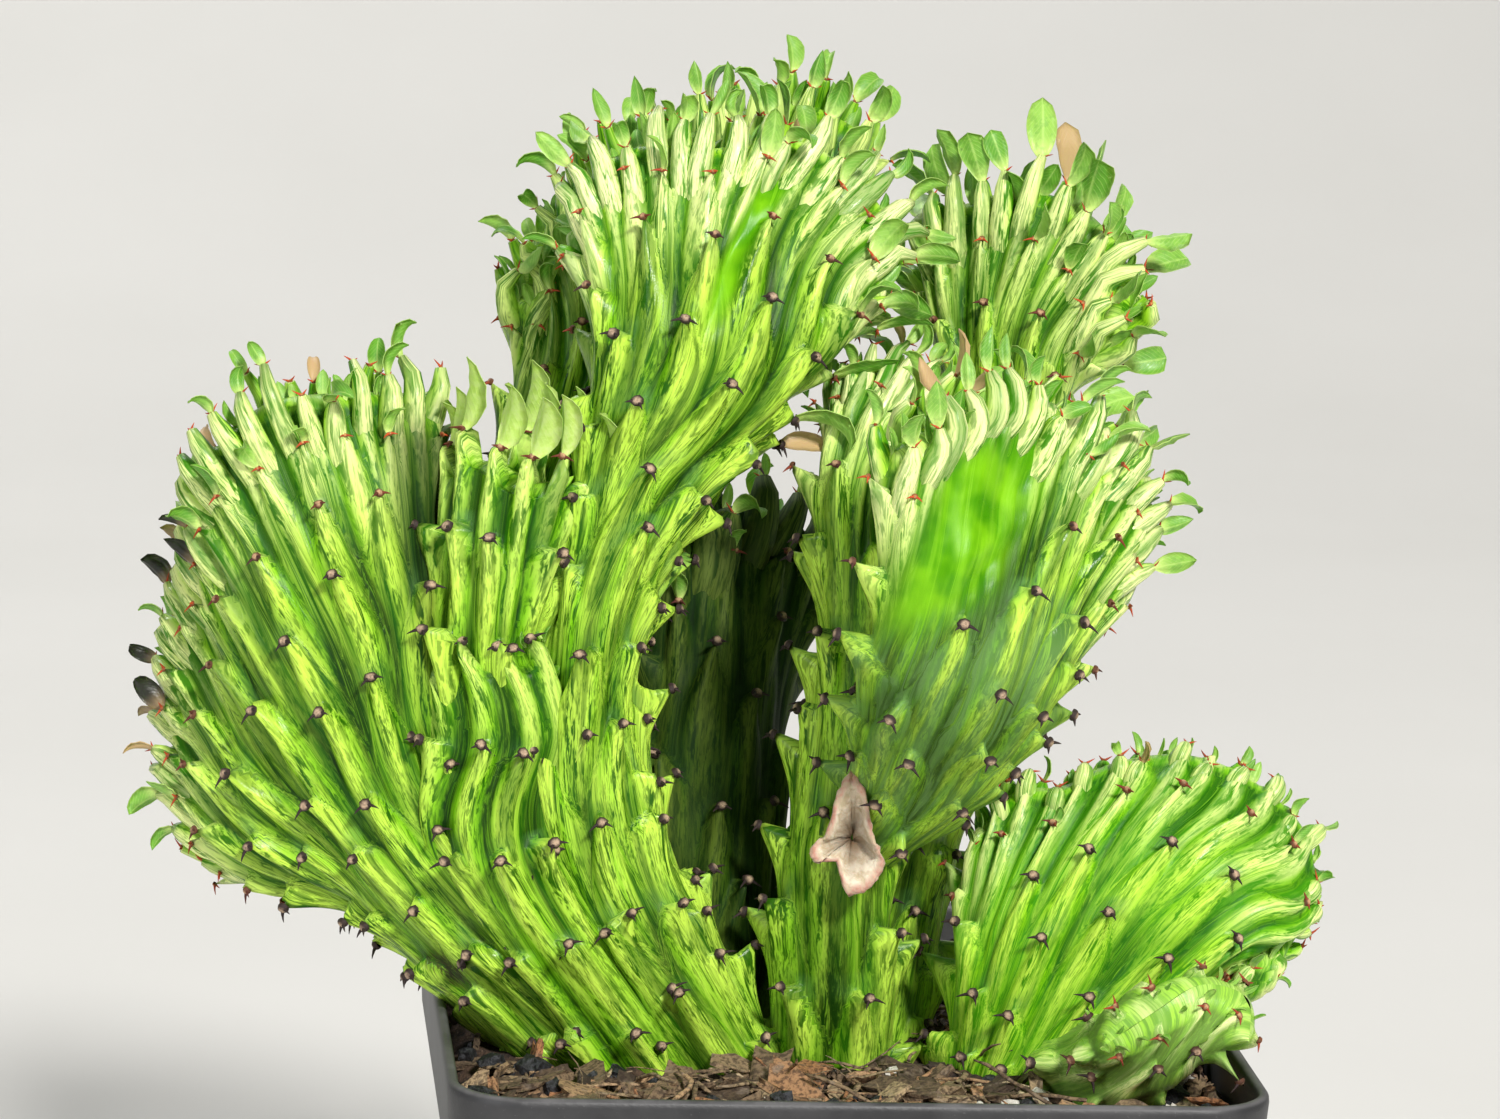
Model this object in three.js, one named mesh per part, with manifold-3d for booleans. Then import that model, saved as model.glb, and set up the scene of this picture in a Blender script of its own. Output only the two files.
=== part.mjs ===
// A potted crested euphorbia: fan-shaped crests of ribbed tubercles with small leaves, in a square plastic
// nursery pot.
// Millimetres, +Z up. The origin is the centre of the pot's underside, and the plant is seen from -Y.
import * as THREE from "three";
import { mergeVertices } from "three/addons/utils/BufferGeometryUtils.js";
import Module from "manifold-3d";

const wasm = await Module();
wasm.setup();

// Driving sizes of the pot
const POT_HEIGHT = 88;
const RIM_HALF = 50;
const RIM_RADIUS = 9;
const BAND_HEIGHT = 13;
const BAND_STEP = 2.2;
const FOOT_HALF = 36;
const WALL = 1.5;
const FLOOR = 2;
const DRAIN_RADIUS = 4;
const DRAIN_OFFSET = 19;

// Driving sizes of the soil and its clearances
const SOIL_TOP = 83;
const GAP = 0.3;
const STEM_DEPTH = 22;
const STEM_RISE = 4;
const SOIL_EDGE_ROUNDING = [3, 1.5];
const CHIP_COUNT = 40;
const CHIP_REACH = 42;
const CHIP_WIDTH = [3, 6];
const CHIP_LENGTH_SHARE = 1.7;
const CHIP_THICK = 2.2;
const CHIP_TILT = 0.35;
const CHIP_SINK = [-0.6, 0.3];

// Driving sizes of the tubercles, which change with their distance from the growing edge
const OLD_AGE = 40;
const YOUNG_SPACING = 4.4;
const OLD_SPACING = 9.6;
const YOUNG_ROW_STEP = 4.4;
const OLD_ROW_STEP = 11;
const FIRST_ROW = 2.4;
const ROOT_MARGIN = 6;
const FEWEST_IN_ROW = 6;
const JITTER = 0.3;
const YOUNG_TIP = 2.8;
const OLD_TIP = 3;
const EDGE_TIP_SHARE = 0.5;
const TIP_LEAN = 0.5;
const TIP_RISE = 0.3;
const VALLEY_DROP = 0.15;
const VALLEY_SHARE = 0.2;
const EDGE_TOOTH = 1.4;
const SIDE_ROUNDING = 1.6;

// Driving sizes of the leaves
const LEAF_LENGTH = 5.4;
const LEAF_WIDTH = 3.4;
const LEAF_THICK = 0.8;
const LEAF_AGE = 9;
const LEAF_FOLD = 0.2;
const LEAF_CURL = 0.28;
const LEAF_SHARE_AT_EDGE = 0.62;
const LEAF_SHARE_BELOW = 0.34;

// Edges shorter than this come only from where solids cross
const SHORT_EDGE = 0.03;

// Each crest is a thick sheet lofted through curves that run across it, from its root to its growing edge.
// thick is the sheet's half thickness at the root, half way up and at the growing edge.
const CRESTS = {
  main: {
    left_fan: {
      sections: [
        [[-34, -2, 78], [-25, -6, 78], [-16, -7, 78]],
        [[-56, -1, 99], [-54, -8, 109], [-47, -11, 116]],
        [[-72, 1, 103], [-72, -4, 114], [-67, -9, 132], [-57, -9, 141], [-53, -7, 145]],
        [[-79, 3, 105], [-82, 8, 112], [-83, 12, 122], [-82, 11, 133], [-80, 4, 146], [-80, -1, 156],
          [-74, -5, 164], [-64, -5, 166], [-53, 2, 165]],
      ],
      thick: [8, 5, 2.2],
      leaf: 1,
    },
    shelf: {
      sections: [
        [[-30, -9, 79], [-14, -10, 79]],
        [[-50, -12, 109], [-35, -14, 110]],
        [[-50, -13, 124], [-35, -14, 126]],
        [[-51, -9, 135], [-45, -13, 137], [-39, -14, 138]],
      ],
      thick: [7, 5, 2.6],
      leaf: 0,
    },
    front_ridge: {
      sections: [
        [[-30, -7, 80], [-20, -8, 80]],
        [[-48, -7, 119], [-39, -10, 120]],
        [[-49, -5, 144], [-45, -10, 146], [-38, -12, 146]],
        [[-48, -1, 155], [-45, -7, 162], [-40, -12, 160], [-34, -12, 161]],
      ],
      thick: [7, 5, 2.4],
      leaf: 1.5,
    },
    tall_fan: {
      sections: [
        [[-20, -9, 79], [-5, -9, 79]],
        [[-38, -10, 109], [-23, -11, 109]],
        [[-36, -10, 136], [-28, -11, 136]],
        [[-33, -9, 157], [-20, -11, 155]],
        [[-32, -6, 174], [-20, -12, 174], [-4, -8, 174]],
        [[-35, 0, 185], [-33, 2, 193], [-26, 2, 197], [-17, -1, 197], [-8, 1, 198], [0, 3, 193], [5, 1, 186],
          [3, -5, 179]],
      ],
      thick: [7, 6, 2.4],
      leaf: 1,
    },
    hollow_fan: {
      sections: [
        [[-18, -1, 79], [-6, -1, 79]],
        [[-24, 0, 109], [-15, 4, 110], [-8, 12, 109]],
        [[-22, 8, 127], [-13, 13, 129], [-5, 19, 127]],
        [[-22, 13, 142], [-14, 20, 148], [-5, 24, 147], [1, 26, 138]],
      ],
      thick: [6, 5, 2.4],
      leaf: 1,
    },
    back_fan: {
      sections: [
        [[-30, 6, 79], [-10, 8, 79]],
        [[-44, 12, 113], [-23, 14, 112]],
        [[-45, 14, 141], [-19, 18, 141]],
        [[-41, 14, 162], [-10, 18, 164]],
        [[-40, 14, 175], [-39, 19, 182], [-31, 22, 193], [-18, 22, 198], [-6, 20, 201], [4, 18, 197]],
      ],
      thick: [7, 5.5, 2.4],
      leaf: 1,
    },
  },
  right: {
    stem_fan: {
      sections: [
        [[-6, -8, 79], [7, -9, 79]],
        [[-6, -12, 110], [5, -13, 110]],
        [[-2, -11, 136], [5, -13, 137]],
        [[-3, -10, 158], [5, -12, 157]],
        [[-2, -4, 168], [2, -1, 170], [6, -4, 169], [13, -8, 167], [17, -12, 162]],
      ],
      thick: [7, 5.5, 2.2],
      leaf: 0.9,
    },
    near_fan: {
      sections: [
        [[0, -11, 112], [8, -11, 114]],
        [[0, -26, 128], [10, -25, 127], [20, -19, 130]],
        [[0, -41, 145], [12, -40, 143], [25, -25, 140]],
        [[0, -46, 167], [8, -40, 171], [18, -31, 171], [27, -25, 167], [33, -21, 160], [32, -21, 152],
          [27, -22, 146]],
      ],
      thick: [6, 5, 2.4],
      leaf: 1,
    },
    far_fan: {
      sections: [
        [[0, 3, 79], [12, 3, 79]],
        [[4, 6, 110], [16, 6, 110]],
        [[12, 6, 139], [22, 3, 141]],
        [[14, 8, 162], [27, 3, 165]],
        [[12, 14, 181], [13, 12, 188], [18, 10, 191], [24, 7, 192], [31, 5, 189], [35, 2, 183],
          [33, -2, 174]],
      ],
      thick: [7, 5.5, 2.2],
      leaf: 1,
    },
  },
  low: {
    right_fan: {
      sections: [
        [[16, -9, 78], [23, -12, 78], [32, -19, 78]],
        [[16, -12, 95], [27, -15, 99], [44, -22, 99]],
        [[16, -11, 108], [30, -15, 112], [50, -22, 111]],
        [[17, -10, 112], [22, -9, 118], [28, -10, 119], [35, -9, 122], [44, -9, 123], [52, -9, 120],
          [59, -11, 114], [60, -14, 108], [58, -18, 102], [49, -22, 100]],
      ],
      thick: [7, 6, 2.4],
      leaf: 0.7,
    },
    corner_fan: {
      sections: [
        [[22, -16, 82], [31, -20, 86]],
        [[28, -30, 88], [41, -34, 91]],
        [[30, -40, 93], [36, -41, 98], [42, -39, 101], [48, -38, 99], [48, -41, 94]],
      ],
      thick: [5, 5, 2.4],
      leaf: 0.8,
    },
  },
};

// The stems' buried feet: ellipse centre x, y, half axes and turn in degrees
const FEET = {
  main: [{ at: [-20, -2], half: [15, 8], turn: 0 }],
  right: [{ at: [3, -3], half: [7.5, 9], turn: 0 }],
  low: [{ at: [23.5, -13.5], half: [9, 4.6], turn: -30 }],
};

// The dry husk that clings to the right stem
const HUSK_PLACE = [-1, -22.5, 115];
const HUSK_OUTLINE = [
  [-4.6, -2.2], [-2.2, -0.4], [-1.2, 5.6], [0.6, 8.4], [2.4, 5.2], [3.4, 0.6], [5.2, -3.4], [3.6, -6.4],
  [0.4, -7.8], [-0.8, -3.4], [-3.6, -3.6],
];
const HUSK_THICK = 3;

function randomFrom(seed) {
  let state = seed;
  return () => {
    state = (state + 0x6d2b79f5) | 0;
    let t = Math.imul(state ^ (state >>> 15), 1 | state);
    t = (t + Math.imul(t ^ (t >>> 7), 61 | t)) ^ t;
    return ((t ^ (t >>> 14)) >>> 0) / 4294967296;
  };
}

const vector = (p) => new THREE.Vector3(p[0], p[1], p[2]);
const mix = THREE.MathUtils.lerp;
const clamp = THREE.MathUtils.clamp;
const curveThrough = (points) => new THREE.CatmullRomCurve3(points, false, "catmullrom", 0.5);

function runningLengths(points) {
  const lengths = [0];
  for (let i = 1; i < points.length; i++) lengths.push(lengths[i - 1] + points[i].distanceTo(points[i - 1]));
  return lengths;
}

// Solids: geometry to manifold and back

function meshData(positions, triangles) {
  const geometry = new THREE.BufferGeometry();
  const coordinates = positions.flatMap((p) => [p.x, p.y, p.z]);
  geometry.setAttribute("position", new THREE.Float32BufferAttribute(coordinates, 3));
  geometry.setIndex(triangles.flat());
  return geometry;
}

function solidOf(geometry) {
  const bare = geometry.clone();
  bare.deleteAttribute("normal");
  bare.deleteAttribute("uv");
  const merged = mergeVertices(bare, 1e-4);
  const mesh = new wasm.Mesh({
    numProp: 3,
    vertProperties: merged.attributes.position.array,
    triVerts: new Uint32Array(merged.index.array),
  });
  return new wasm.Manifold(mesh);
}

// The solid's surface, with edges too short to see drawn together and the slivers between them left out
function geometryOf(solid) {
  const mesh = solid.getMesh();
  const corner = (i) => new THREE.Vector3().fromArray(mesh.vertProperties, i * mesh.numProp);
  const joined = Array.from({ length: mesh.numVert }, (_, i) => i);
  const rootOf = (i) => (joined[i] === i ? i : (joined[i] = rootOf(joined[i])));
  const faces = [];
  for (let i = 0; i < mesh.triVerts.length; i += 3) faces.push([...mesh.triVerts.slice(i, i + 3)]);
  for (const face of faces) {
    face.forEach((a, k) => {
      const b = face[(k + 1) % 3];
      if (corner(a).distanceTo(corner(b)) < SHORT_EDGE) joined[rootOf(a)] = rootOf(b);
    });
  }
  const kept = new Map();
  for (const face of faces.map((f) => f.map(rootOf))) {
    if (new Set(face).size < 3) continue;
    const key = [...face].sort((a, b) => a - b).join();
    if (kept.has(key)) kept.delete(key);
    else kept.set(key, face);
  }
  const numbers = new Map();
  const positions = [];
  const numberOf = (i) => {
    if (!numbers.has(i)) numbers.set(i, positions.push(corner(i)) - 1);
    return numbers.get(i);
  };
  const geometry = meshData(positions, [...kept.values()].map((face) => face.map(numberOf)));
  geometry.computeVertexNormals();
  return geometry;
}

// The body of a solid that holds most of its volume, without loose scraps
function largestBody(solid) {
  return solid.decompose().reduce((a, b) => (a.volume() > b.volume() ? a : b));
}

// What is left of a solid once everything within the gap of its neighbour is cut off
function cutClear(solid, neighbour, gap) {
  const shifts = [[1, 0, 0], [-1, 0, 0], [0, 1, 0], [0, -1, 0], [0, 0, 1], [0, 0, -1]];
  return shifts.reduce((left, s) => left.subtract(neighbour.translate(s.map((x) => x * gap))), solid);
}

// Crests: a sheet, its thickness and the rings round it

class Crest {
  constructor({ sections, thick }) {
    this.curves = sections.map((points) => curveThrough(points.map(vector)));
    this.thick = thick;
    const middleLine = curveThrough(this.curves.map((c) => c.getPointAt(0.5)));
    this.flow = runningLengths(middleLine.getPoints(100));
    this.length = this.flow.at(-1);
  }

  // The share of the way up at a distance in mm from the growing edge
  shareAt(age) {
    const along = clamp(this.length - age, 0, this.length);
    const i = Math.max(1, this.flow.findIndex((d) => d >= along));
    const part = (along - this.flow[i - 1]) / (this.flow[i] - this.flow[i - 1]);
    return (i - 1 + part) / (this.flow.length - 1);
  }

  sheet(u, v) {
    return curveThrough(this.curves.map((c) => c.getPointAt(u))).getPoint(v);
  }

  halfThickness(v) {
    const [root, middle, edge] = this.thick;
    return v < 0.5 ? mix(root, middle, v * 2) : mix(middle, edge, (v - 0.5) * 2);
  }

  // The front and the rear of the sheet across it at v, each from left to right with its running length
  sides(v) {
    const samples = 40;
    const half = this.halfThickness(v);
    const middle = [];
    for (let i = 0; i <= samples; i++) {
      const u = 0.5 - 0.5 * Math.cos((Math.PI * i) / samples);
      middle.push({ u, p: this.sheet(u, v) });
    }
    const width = middle.slice(1).reduce((sum, m, i) => sum + m.p.distanceTo(middle[i].p), 0);
    const round = Math.min(width / 2, SIDE_ROUNDING * half);
    return [1, -1].map((sign) => {
      const points = middle.map(({ u, p }) => {
        const step = 0.01;
        const across = this.sheet(Math.min(1, u + step), v).sub(this.sheet(Math.max(0, u - step), v));
        const up = this.sheet(u, Math.min(1, v + step)).sub(this.sheet(u, Math.max(0, v - step)));
        const inset = Math.min(1, (Math.min(u, 1 - u) * width) / round);
        const out = half * Math.sqrt(Math.max(0, 1 - (1 - inset) ** 2));
        return p.clone().addScaledVector(across.cross(up).normalize(), sign * out);
      });
      return { points, lengths: runningLengths(points) };
    });
  }

  perimeterAt(v) {
    return this.sides(v).reduce((sum, side) => sum + side.lengths.at(-1), 0);
  }

  // Points of the ring at v: shares 0 to 0.5 run across the front from left to right, 0.5 to 1 back across
  // the rear
  ring(v, shares) {
    const sides = this.sides(v);
    return shares.map((share) => {
      const { points, lengths } = share < 0.5 ? sides[0] : sides[1];
      const t = share < 0.5 ? share * 2 : 2 - share * 2;
      const along = t * lengths.at(-1);
      const i = clamp(lengths.findIndex((d) => d >= along), 1, points.length - 1);
      const part = (along - lengths[i - 1]) / Math.max(1e-9, lengths[i] - lengths[i - 1]);
      return points[i - 1].clone().lerp(points[i], clamp(part, 0, 1));
    });
  }

  // The outward direction and the direction of growth at each point of a ring
  directions(v, shares, points) {
    const step = 0.015;
    const higher = this.ring(Math.min(1, v + step), shares);
    const lower = this.ring(Math.max(0, v - step), shares);
    const next = this.ring(v, shares.map((s) => (s + 0.01) % 1));
    const before = this.ring(v, shares.map((s) => (s + 0.99) % 1));
    return points.map((_, i) => {
      const growth = higher[i].clone().sub(lower[i]).normalize();
      const out = next[i].clone().sub(before[i]).cross(growth).normalize();
      return { out, growth };
    });
  }
}

// The rows of tubercles, from the growing edge down to the root
function tubercleRows(crest, random) {
  const rows = [];
  for (let age = FIRST_ROW, k = 0; age < crest.length - ROOT_MARGIN; k++) {
    const old = Math.min(1, age / OLD_AGE);
    const v = crest.shareAt(age);
    const spacing = mix(YOUNG_SPACING, OLD_SPACING, old);
    const count = Math.max(FEWEST_IN_ROW, 2 * Math.round(crest.perimeterAt(v) / spacing / 2));
    const shares = Array.from({ length: count }, (_, j) => {
      const even = (j + (k % 2) / 2) / count;
      const onSide = even % 0.5 === 0;
      return onSide ? even : even + ((random() - 0.5) * JITTER) / count;
    });
    const step = mix(YOUNG_ROW_STEP, OLD_ROW_STEP, old);
    rows.push({ age, old, count, shares, step });
    age += step;
  }
  return rows.reverse();
}

// Triangles between two rings of points with different counts, both sorted by share
function joinRings(lower, upper) {
  const triangles = [];
  const n = lower.ids.length;
  const m = upper.ids.length;
  const shareOf = (ring, i) => ring.shares[i % ring.ids.length] + Math.floor(i / ring.ids.length);
  for (let i = 0, j = 0; i < n || j < m; ) {
    const a = lower.ids[i % n];
    const b = upper.ids[j % m];
    const useLower = j >= m || (i < n && shareOf(lower, i + 1) <= shareOf(upper, j + 1));
    const c = useLower ? lower.ids[(i + 1) % n] : upper.ids[(j + 1) % m];
    if (a !== b && b !== c && a !== c) triangles.push([a, c, b]);
    if (useLower) i++;
    else j++;
  }
  return triangles;
}

// One crest as a closed mesh, with the places of its tubercles' tips
function crestMesh(spec, seed) {
  const random = randomFrom(seed);
  const crest = new Crest(spec);
  const positions = [];
  const triangles = [];
  const tips = [];
  const addRing = (points, shares) => {
    const ids = points.map((p) => positions.push(p) - 1);
    return { ids, shares };
  };
  const between = (shares) => {
    const before = [shares.at(-1) - 1, ...shares];
    return shares.map((share, i) => (share + before[i]) / 2);
  };
  const rows = tubercleRows(crest, random);

  const baseShares = Array.from({ length: rows[0].count }, (_, j) => j / rows[0].count);
  let below = addRing(crest.ring(0, baseShares), baseShares);
  const half = rows[0].count / 2;
  for (let j = 0; j < half; j++) {
    const [a, b] = [below.ids[j], below.ids[j + 1]];
    const [c, d] = [below.ids[(2 * half - j) % (2 * half)], below.ids[2 * half - j - 1]];
    if (a !== c) triangles.push([a, c, b]);
    if (b !== d) triangles.push([b, c, d]);
  }

  for (const row of rows) {
    const height = mix(YOUNG_TIP, OLD_TIP, row.old);
    const valleys = between(row.shares).map((share) => (share + 1) % 1);
    const order = row.shares
      .flatMap((share, j) => [{ share: valleys[j], tip: false }, { share, tip: true }])
      .sort((a, b) => a.share - b.share);
    const shares = order.map((o) => o.share);
    const high = crest.shareAt(row.age - TIP_RISE * row.step);
    const low = crest.shareAt(row.age + VALLEY_DROP * row.step);
    const highPoints = crest.ring(high, shares);
    const highWays = crest.directions(high, shares, highPoints);
    const lowPoints = crest.ring(low, shares);
    const lowWays = crest.directions(low, shares, lowPoints);
    const points = order.map(({ share, tip }, i) => {
      if (!tip) return lowPoints[i].addScaledVector(lowWays[i].out, height * VALLEY_SHARE);
      const fromSide = Math.min(share % 0.5, 0.5 - (share % 0.5)) * row.count;
      const rise = height * (1 + EDGE_TIP_SHARE * Math.max(0, 1 - fromSide)) * mix(0.85, 1.15, random());
      const { out, growth } = highWays[i];
      const way = out.clone().addScaledVector(growth, TIP_LEAN).normalize();
      const at = highPoints[i].addScaledVector(way, rise);
      tips.push({ at, out, growth, age: row.age });
      return at;
    });
    const ring = addRing(points, shares);
    triangles.push(...joinRings(below, ring));
    below = ring;
  }

  // The growing edge closes on the sheet's own line, in small teeth
  const teeth = rows.at(-1).count / 2;
  const line = [];
  for (let j = 0; j <= teeth; j++) {
    const u = j / teeth;
    const p = crest.sheet(u, 1);
    const growth = p.clone().sub(crest.sheet(u, 0.97)).normalize();
    line.push(positions.push(p.addScaledVector(growth, j % 2 ? EDGE_TOOTH : 0)) - 1);
  }
  const edge = { ids: [], shares: [] };
  for (let j = 0; j < 2 * teeth; j++) {
    edge.ids.push(line[j <= teeth ? j : 2 * teeth - j]);
    edge.shares.push(j / (2 * teeth));
  }
  triangles.push(...joinRings(below, edge));
  return { geometry: meshData(positions, triangles), tips };
}

// A leaf blade from its root at a tip: folded along its rib and curling away from the plant
function leafGeometry(tip, scale, random) {
  const length = LEAF_LENGTH * scale * mix(0.75, 1.15, random());
  const width = LEAF_WIDTH * scale * mix(0.85, 1.1, random());
  const along = tip.growth.clone().addScaledVector(tip.out, mix(0.35, 0.9, random()));
  const side = new THREE.Vector3().crossVectors(tip.out, tip.growth).normalize();
  along.addScaledVector(side, mix(-0.35, 0.35, random())).normalize();
  const across = new THREE.Vector3().crossVectors(along, tip.out).normalize();
  const face = new THREE.Vector3().crossVectors(across, along).normalize();
  if (face.dot(tip.out) > 0) face.negate();
  const place = (l, w, lift) =>
    tip.at.clone()
      .addScaledVector(along, l * length)
      .addScaledVector(across, w * width)
      .addScaledVector(face, lift - LEAF_CURL * l * l * length);
  const fold = LEAF_FOLD * width;
  const layer = (lift) => [
    place(-0.25, 0, lift),
    place(0.6, -0.5, lift + fold),
    place(0.55, 0, lift),
    place(0.6, 0.5, lift + fold),
    place(1, 0, lift + fold / 2),
  ];
  const positions = [...layer(LEAF_THICK / 2), ...layer(-LEAF_THICK / 2)];
  const top = [[0, 2, 1], [0, 3, 2], [1, 2, 4], [2, 3, 4]];
  const rim = [0, 1, 4, 3];
  const count = positions.length / 2;
  const triangles = [
    ...top,
    ...top.map(([a, b, c]) => [a + count, c + count, b + count]),
    ...rim.flatMap((a, i) => {
      const b = rim[(i + 1) % rim.length];
      return [[a, b, b + count], [a, b + count, a + count]];
    }),
  ];
  return meshData(positions, triangles);
}

function outwardSolid(geometry) {
  const solid = solidOf(geometry);
  if (solid.volume() >= 0) return solid;
  const flipped = geometry.clone();
  const index = flipped.index.array;
  for (let i = 0; i < index.length; i += 3) [index[i + 1], index[i + 2]] = [index[i + 2], index[i + 1]];
  return solidOf(flipped);
}

function leavesOf(tips, scale, random) {
  if (scale === 0) return [];
  const shareAt = (age) => (age === FIRST_ROW ? LEAF_SHARE_AT_EDGE : LEAF_SHARE_BELOW);
  const chosen = tips.filter((tip) => tip.age < LEAF_AGE && random() < shareAt(tip.age));
  return chosen.map((tip) => outwardSolid(leafGeometry(tip, scale, random)));
}

// An upright elliptical post
function post({ at, half, turn }, from, to, grow = 0) {
  const geometry = new THREE.CylinderGeometry(1, 1, to - from, 24);
  geometry.rotateX(Math.PI / 2);
  geometry.scale(half[0] + grow, half[1] + grow, 1);
  geometry.rotateZ(THREE.MathUtils.degToRad(turn));
  geometry.translate(at[0], at[1], (from + to) / 2);
  return solidOf(geometry);
}

function box(width, depth, height, x, y, z) {
  return solidOf(new THREE.BoxGeometry(width, depth, height).translate(x, y, z));
}

function plantSolid(name, crests) {
  let solid = null;
  Object.values(crests).forEach((spec, i) => {
    const seed = 100 * (i + 1) + name.length;
    const { geometry, tips } = crestMesh(spec, seed);
    const random = randomFrom(seed + 7);
    const parts = [outwardSolid(geometry), ...leavesOf(tips, spec.leaf, random)];
    for (const p of parts) solid = solid ? solid.add(p) : p;
  });
  const ground = box(300, 300, SOIL_TOP, 0, 0, SOIL_TOP / 2 + GAP);
  solid = solid.subtract(ground);
  for (const foot of FEET[name]) solid = solid.add(post(foot, SOIL_TOP - STEM_DEPTH, SOIL_TOP + STEM_RISE));
  return largestBody(solid);
}

// The pot and the soil: rounded squares stacked into a loft

function roundedSquare(half, radius, z) {
  const points = [];
  const arc = 4;
  for (let corner = 0; corner < 4; corner++) {
    const cx = (half - radius) * (corner === 0 || corner === 3 ? 1 : -1);
    const cy = (half - radius) * (corner < 2 ? 1 : -1);
    for (let i = 0; i <= arc; i++) {
      const angle = (corner + i / arc) * (Math.PI / 2);
      points.push(new THREE.Vector3(cx + radius * Math.cos(angle), cy + radius * Math.sin(angle), z));
    }
  }
  return points;
}

function loft(loops) {
  const positions = loops.flat();
  const n = loops[0].length;
  const triangles = [];
  for (let k = 0; k + 1 < loops.length; k++) {
    for (let i = 0; i < n; i++) {
      const [a, b] = [k * n + i, k * n + ((i + 1) % n)];
      triangles.push([a, b, b + n], [a, b + n, a + n]);
    }
  }
  const last = (loops.length - 1) * n;
  for (let i = 1; i + 1 < n; i++) {
    triangles.push([0, i + 1, i]);
    triangles.push([last, last + i, last + i + 1]);
  }
  return meshData(positions, triangles);
}

const bandFoot = POT_HEIGHT - BAND_HEIGHT;
const bodyTopHalf = RIM_HALF - BAND_STEP;
const innerHalfAt = (z) => mix(FOOT_HALF, bodyTopHalf, z / bandFoot) - WALL;

function potSolid() {
  const edge = 0.8;
  const outer = loft([
    roundedSquare(FOOT_HALF - edge, RIM_RADIUS - edge, 0),
    roundedSquare(FOOT_HALF, RIM_RADIUS, edge),
    roundedSquare(bodyTopHalf - 0.2, RIM_RADIUS, bandFoot),
    roundedSquare(RIM_HALF - 0.6, RIM_RADIUS, bandFoot + 1),
    roundedSquare(RIM_HALF, RIM_RADIUS, POT_HEIGHT - 1),
    roundedSquare(RIM_HALF - 0.5, RIM_RADIUS, POT_HEIGHT),
  ]);
  const inner = loft([
    roundedSquare(innerHalfAt(FLOOR), RIM_RADIUS - WALL, FLOOR),
    roundedSquare(innerHalfAt(bandFoot), RIM_RADIUS - WALL, bandFoot),
    roundedSquare(RIM_HALF - WALL - 0.6, RIM_RADIUS - WALL, bandFoot + 2),
    roundedSquare(RIM_HALF - WALL, RIM_RADIUS - WALL, POT_HEIGHT + 1),
  ]);
  let solid = solidOf(outer).subtract(solidOf(inner));
  for (const x of [-DRAIN_OFFSET, DRAIN_OFFSET]) {
    for (const y of [-DRAIN_OFFSET, DRAIN_OFFSET]) {
      const hole = new THREE.CylinderGeometry(DRAIN_RADIUS, DRAIN_RADIUS, 3 * FLOOR, 16);
      solid = solid.subtract(solidOf(hole.rotateX(Math.PI / 2).translate(x, y, FLOOR / 2)));
    }
  }
  return solid;
}

// Soil that fills the pot, with bark chips lying on top, clear of the stems, and a plain hole for each stem
function soilSolid(stems) {
  const random = randomFrom(41);
  const clear = GAP + 0.1;
  const topHalf = RIM_HALF - WALL - 1.2;
  let solid = solidOf(loft([
    roundedSquare(innerHalfAt(FLOOR) - clear, RIM_RADIUS - WALL, FLOOR + clear),
    roundedSquare(innerHalfAt(bandFoot) - clear, RIM_RADIUS - WALL, bandFoot),
    roundedSquare(topHalf - clear, RIM_RADIUS - WALL, bandFoot + 3.5),
    roundedSquare(topHalf - clear, RIM_RADIUS - WALL, SOIL_TOP - SOIL_EDGE_ROUNDING[1]),
    roundedSquare(topHalf - clear - SOIL_EDGE_ROUNDING[0], RIM_RADIUS - WALL, SOIL_TOP),
  ]));
  for (let placed = 0; placed < CHIP_COUNT; ) {
    const x = mix(-CHIP_REACH, CHIP_REACH, random());
    const y = mix(-CHIP_REACH, CHIP_REACH, random());
    const size = mix(CHIP_WIDTH[0], CHIP_WIDTH[1], random());
    const tilt = () => mix(-CHIP_TILT, CHIP_TILT, random());
    const turn = new THREE.Euler(tilt(), tilt(), random() * Math.PI);
    const lie = new THREE.Matrix4().makeRotationFromEuler(turn);
    const z = SOIL_TOP + mix(CHIP_SINK[0], CHIP_SINK[1], random());
    const chip = (grow) => {
      const length = size * CHIP_LENGTH_SHARE;
      const geometry = new THREE.BoxGeometry(length + grow, size + grow, CHIP_THICK + grow);
      return solidOf(geometry.applyMatrix4(lie).translate(x, y, z));
    };
    if (stems.some((stem) => !stem.intersect(chip(4 * GAP)).isEmpty())) continue;
    solid = solid.add(chip(0));
    placed++;
  }
  for (const foot of Object.values(FEET).flat()) {
    solid = solid.subtract(post(foot, SOIL_TOP - STEM_DEPTH - GAP, SOIL_TOP + 2 * STEM_RISE, GAP));
  }
  return largestBody(solid);
}

function huskSolid() {
  const shape = new THREE.Shape(HUSK_OUTLINE.map(([x, y]) => new THREE.Vector2(x, y)));
  const geometry = new THREE.ExtrudeGeometry(shape, { depth: HUSK_THICK, bevelEnabled: false });
  geometry.rotateX(Math.PI / 2).rotateZ(-0.12).translate(...HUSK_PLACE);
  return solidOf(geometry);
}

// The whole object

const pot = potSolid();
const stems = {};
stems.main = plantSolid("main", CRESTS.main);
stems.right = plantSolid("right", CRESTS.right);
stems.low = plantSolid("low", CRESTS.low);
const soil = soilSolid(Object.values(stems));
const husk = largestBody(cutClear(huskSolid(), stems.right, GAP));

const pottedPlant = new THREE.Group();

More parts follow.
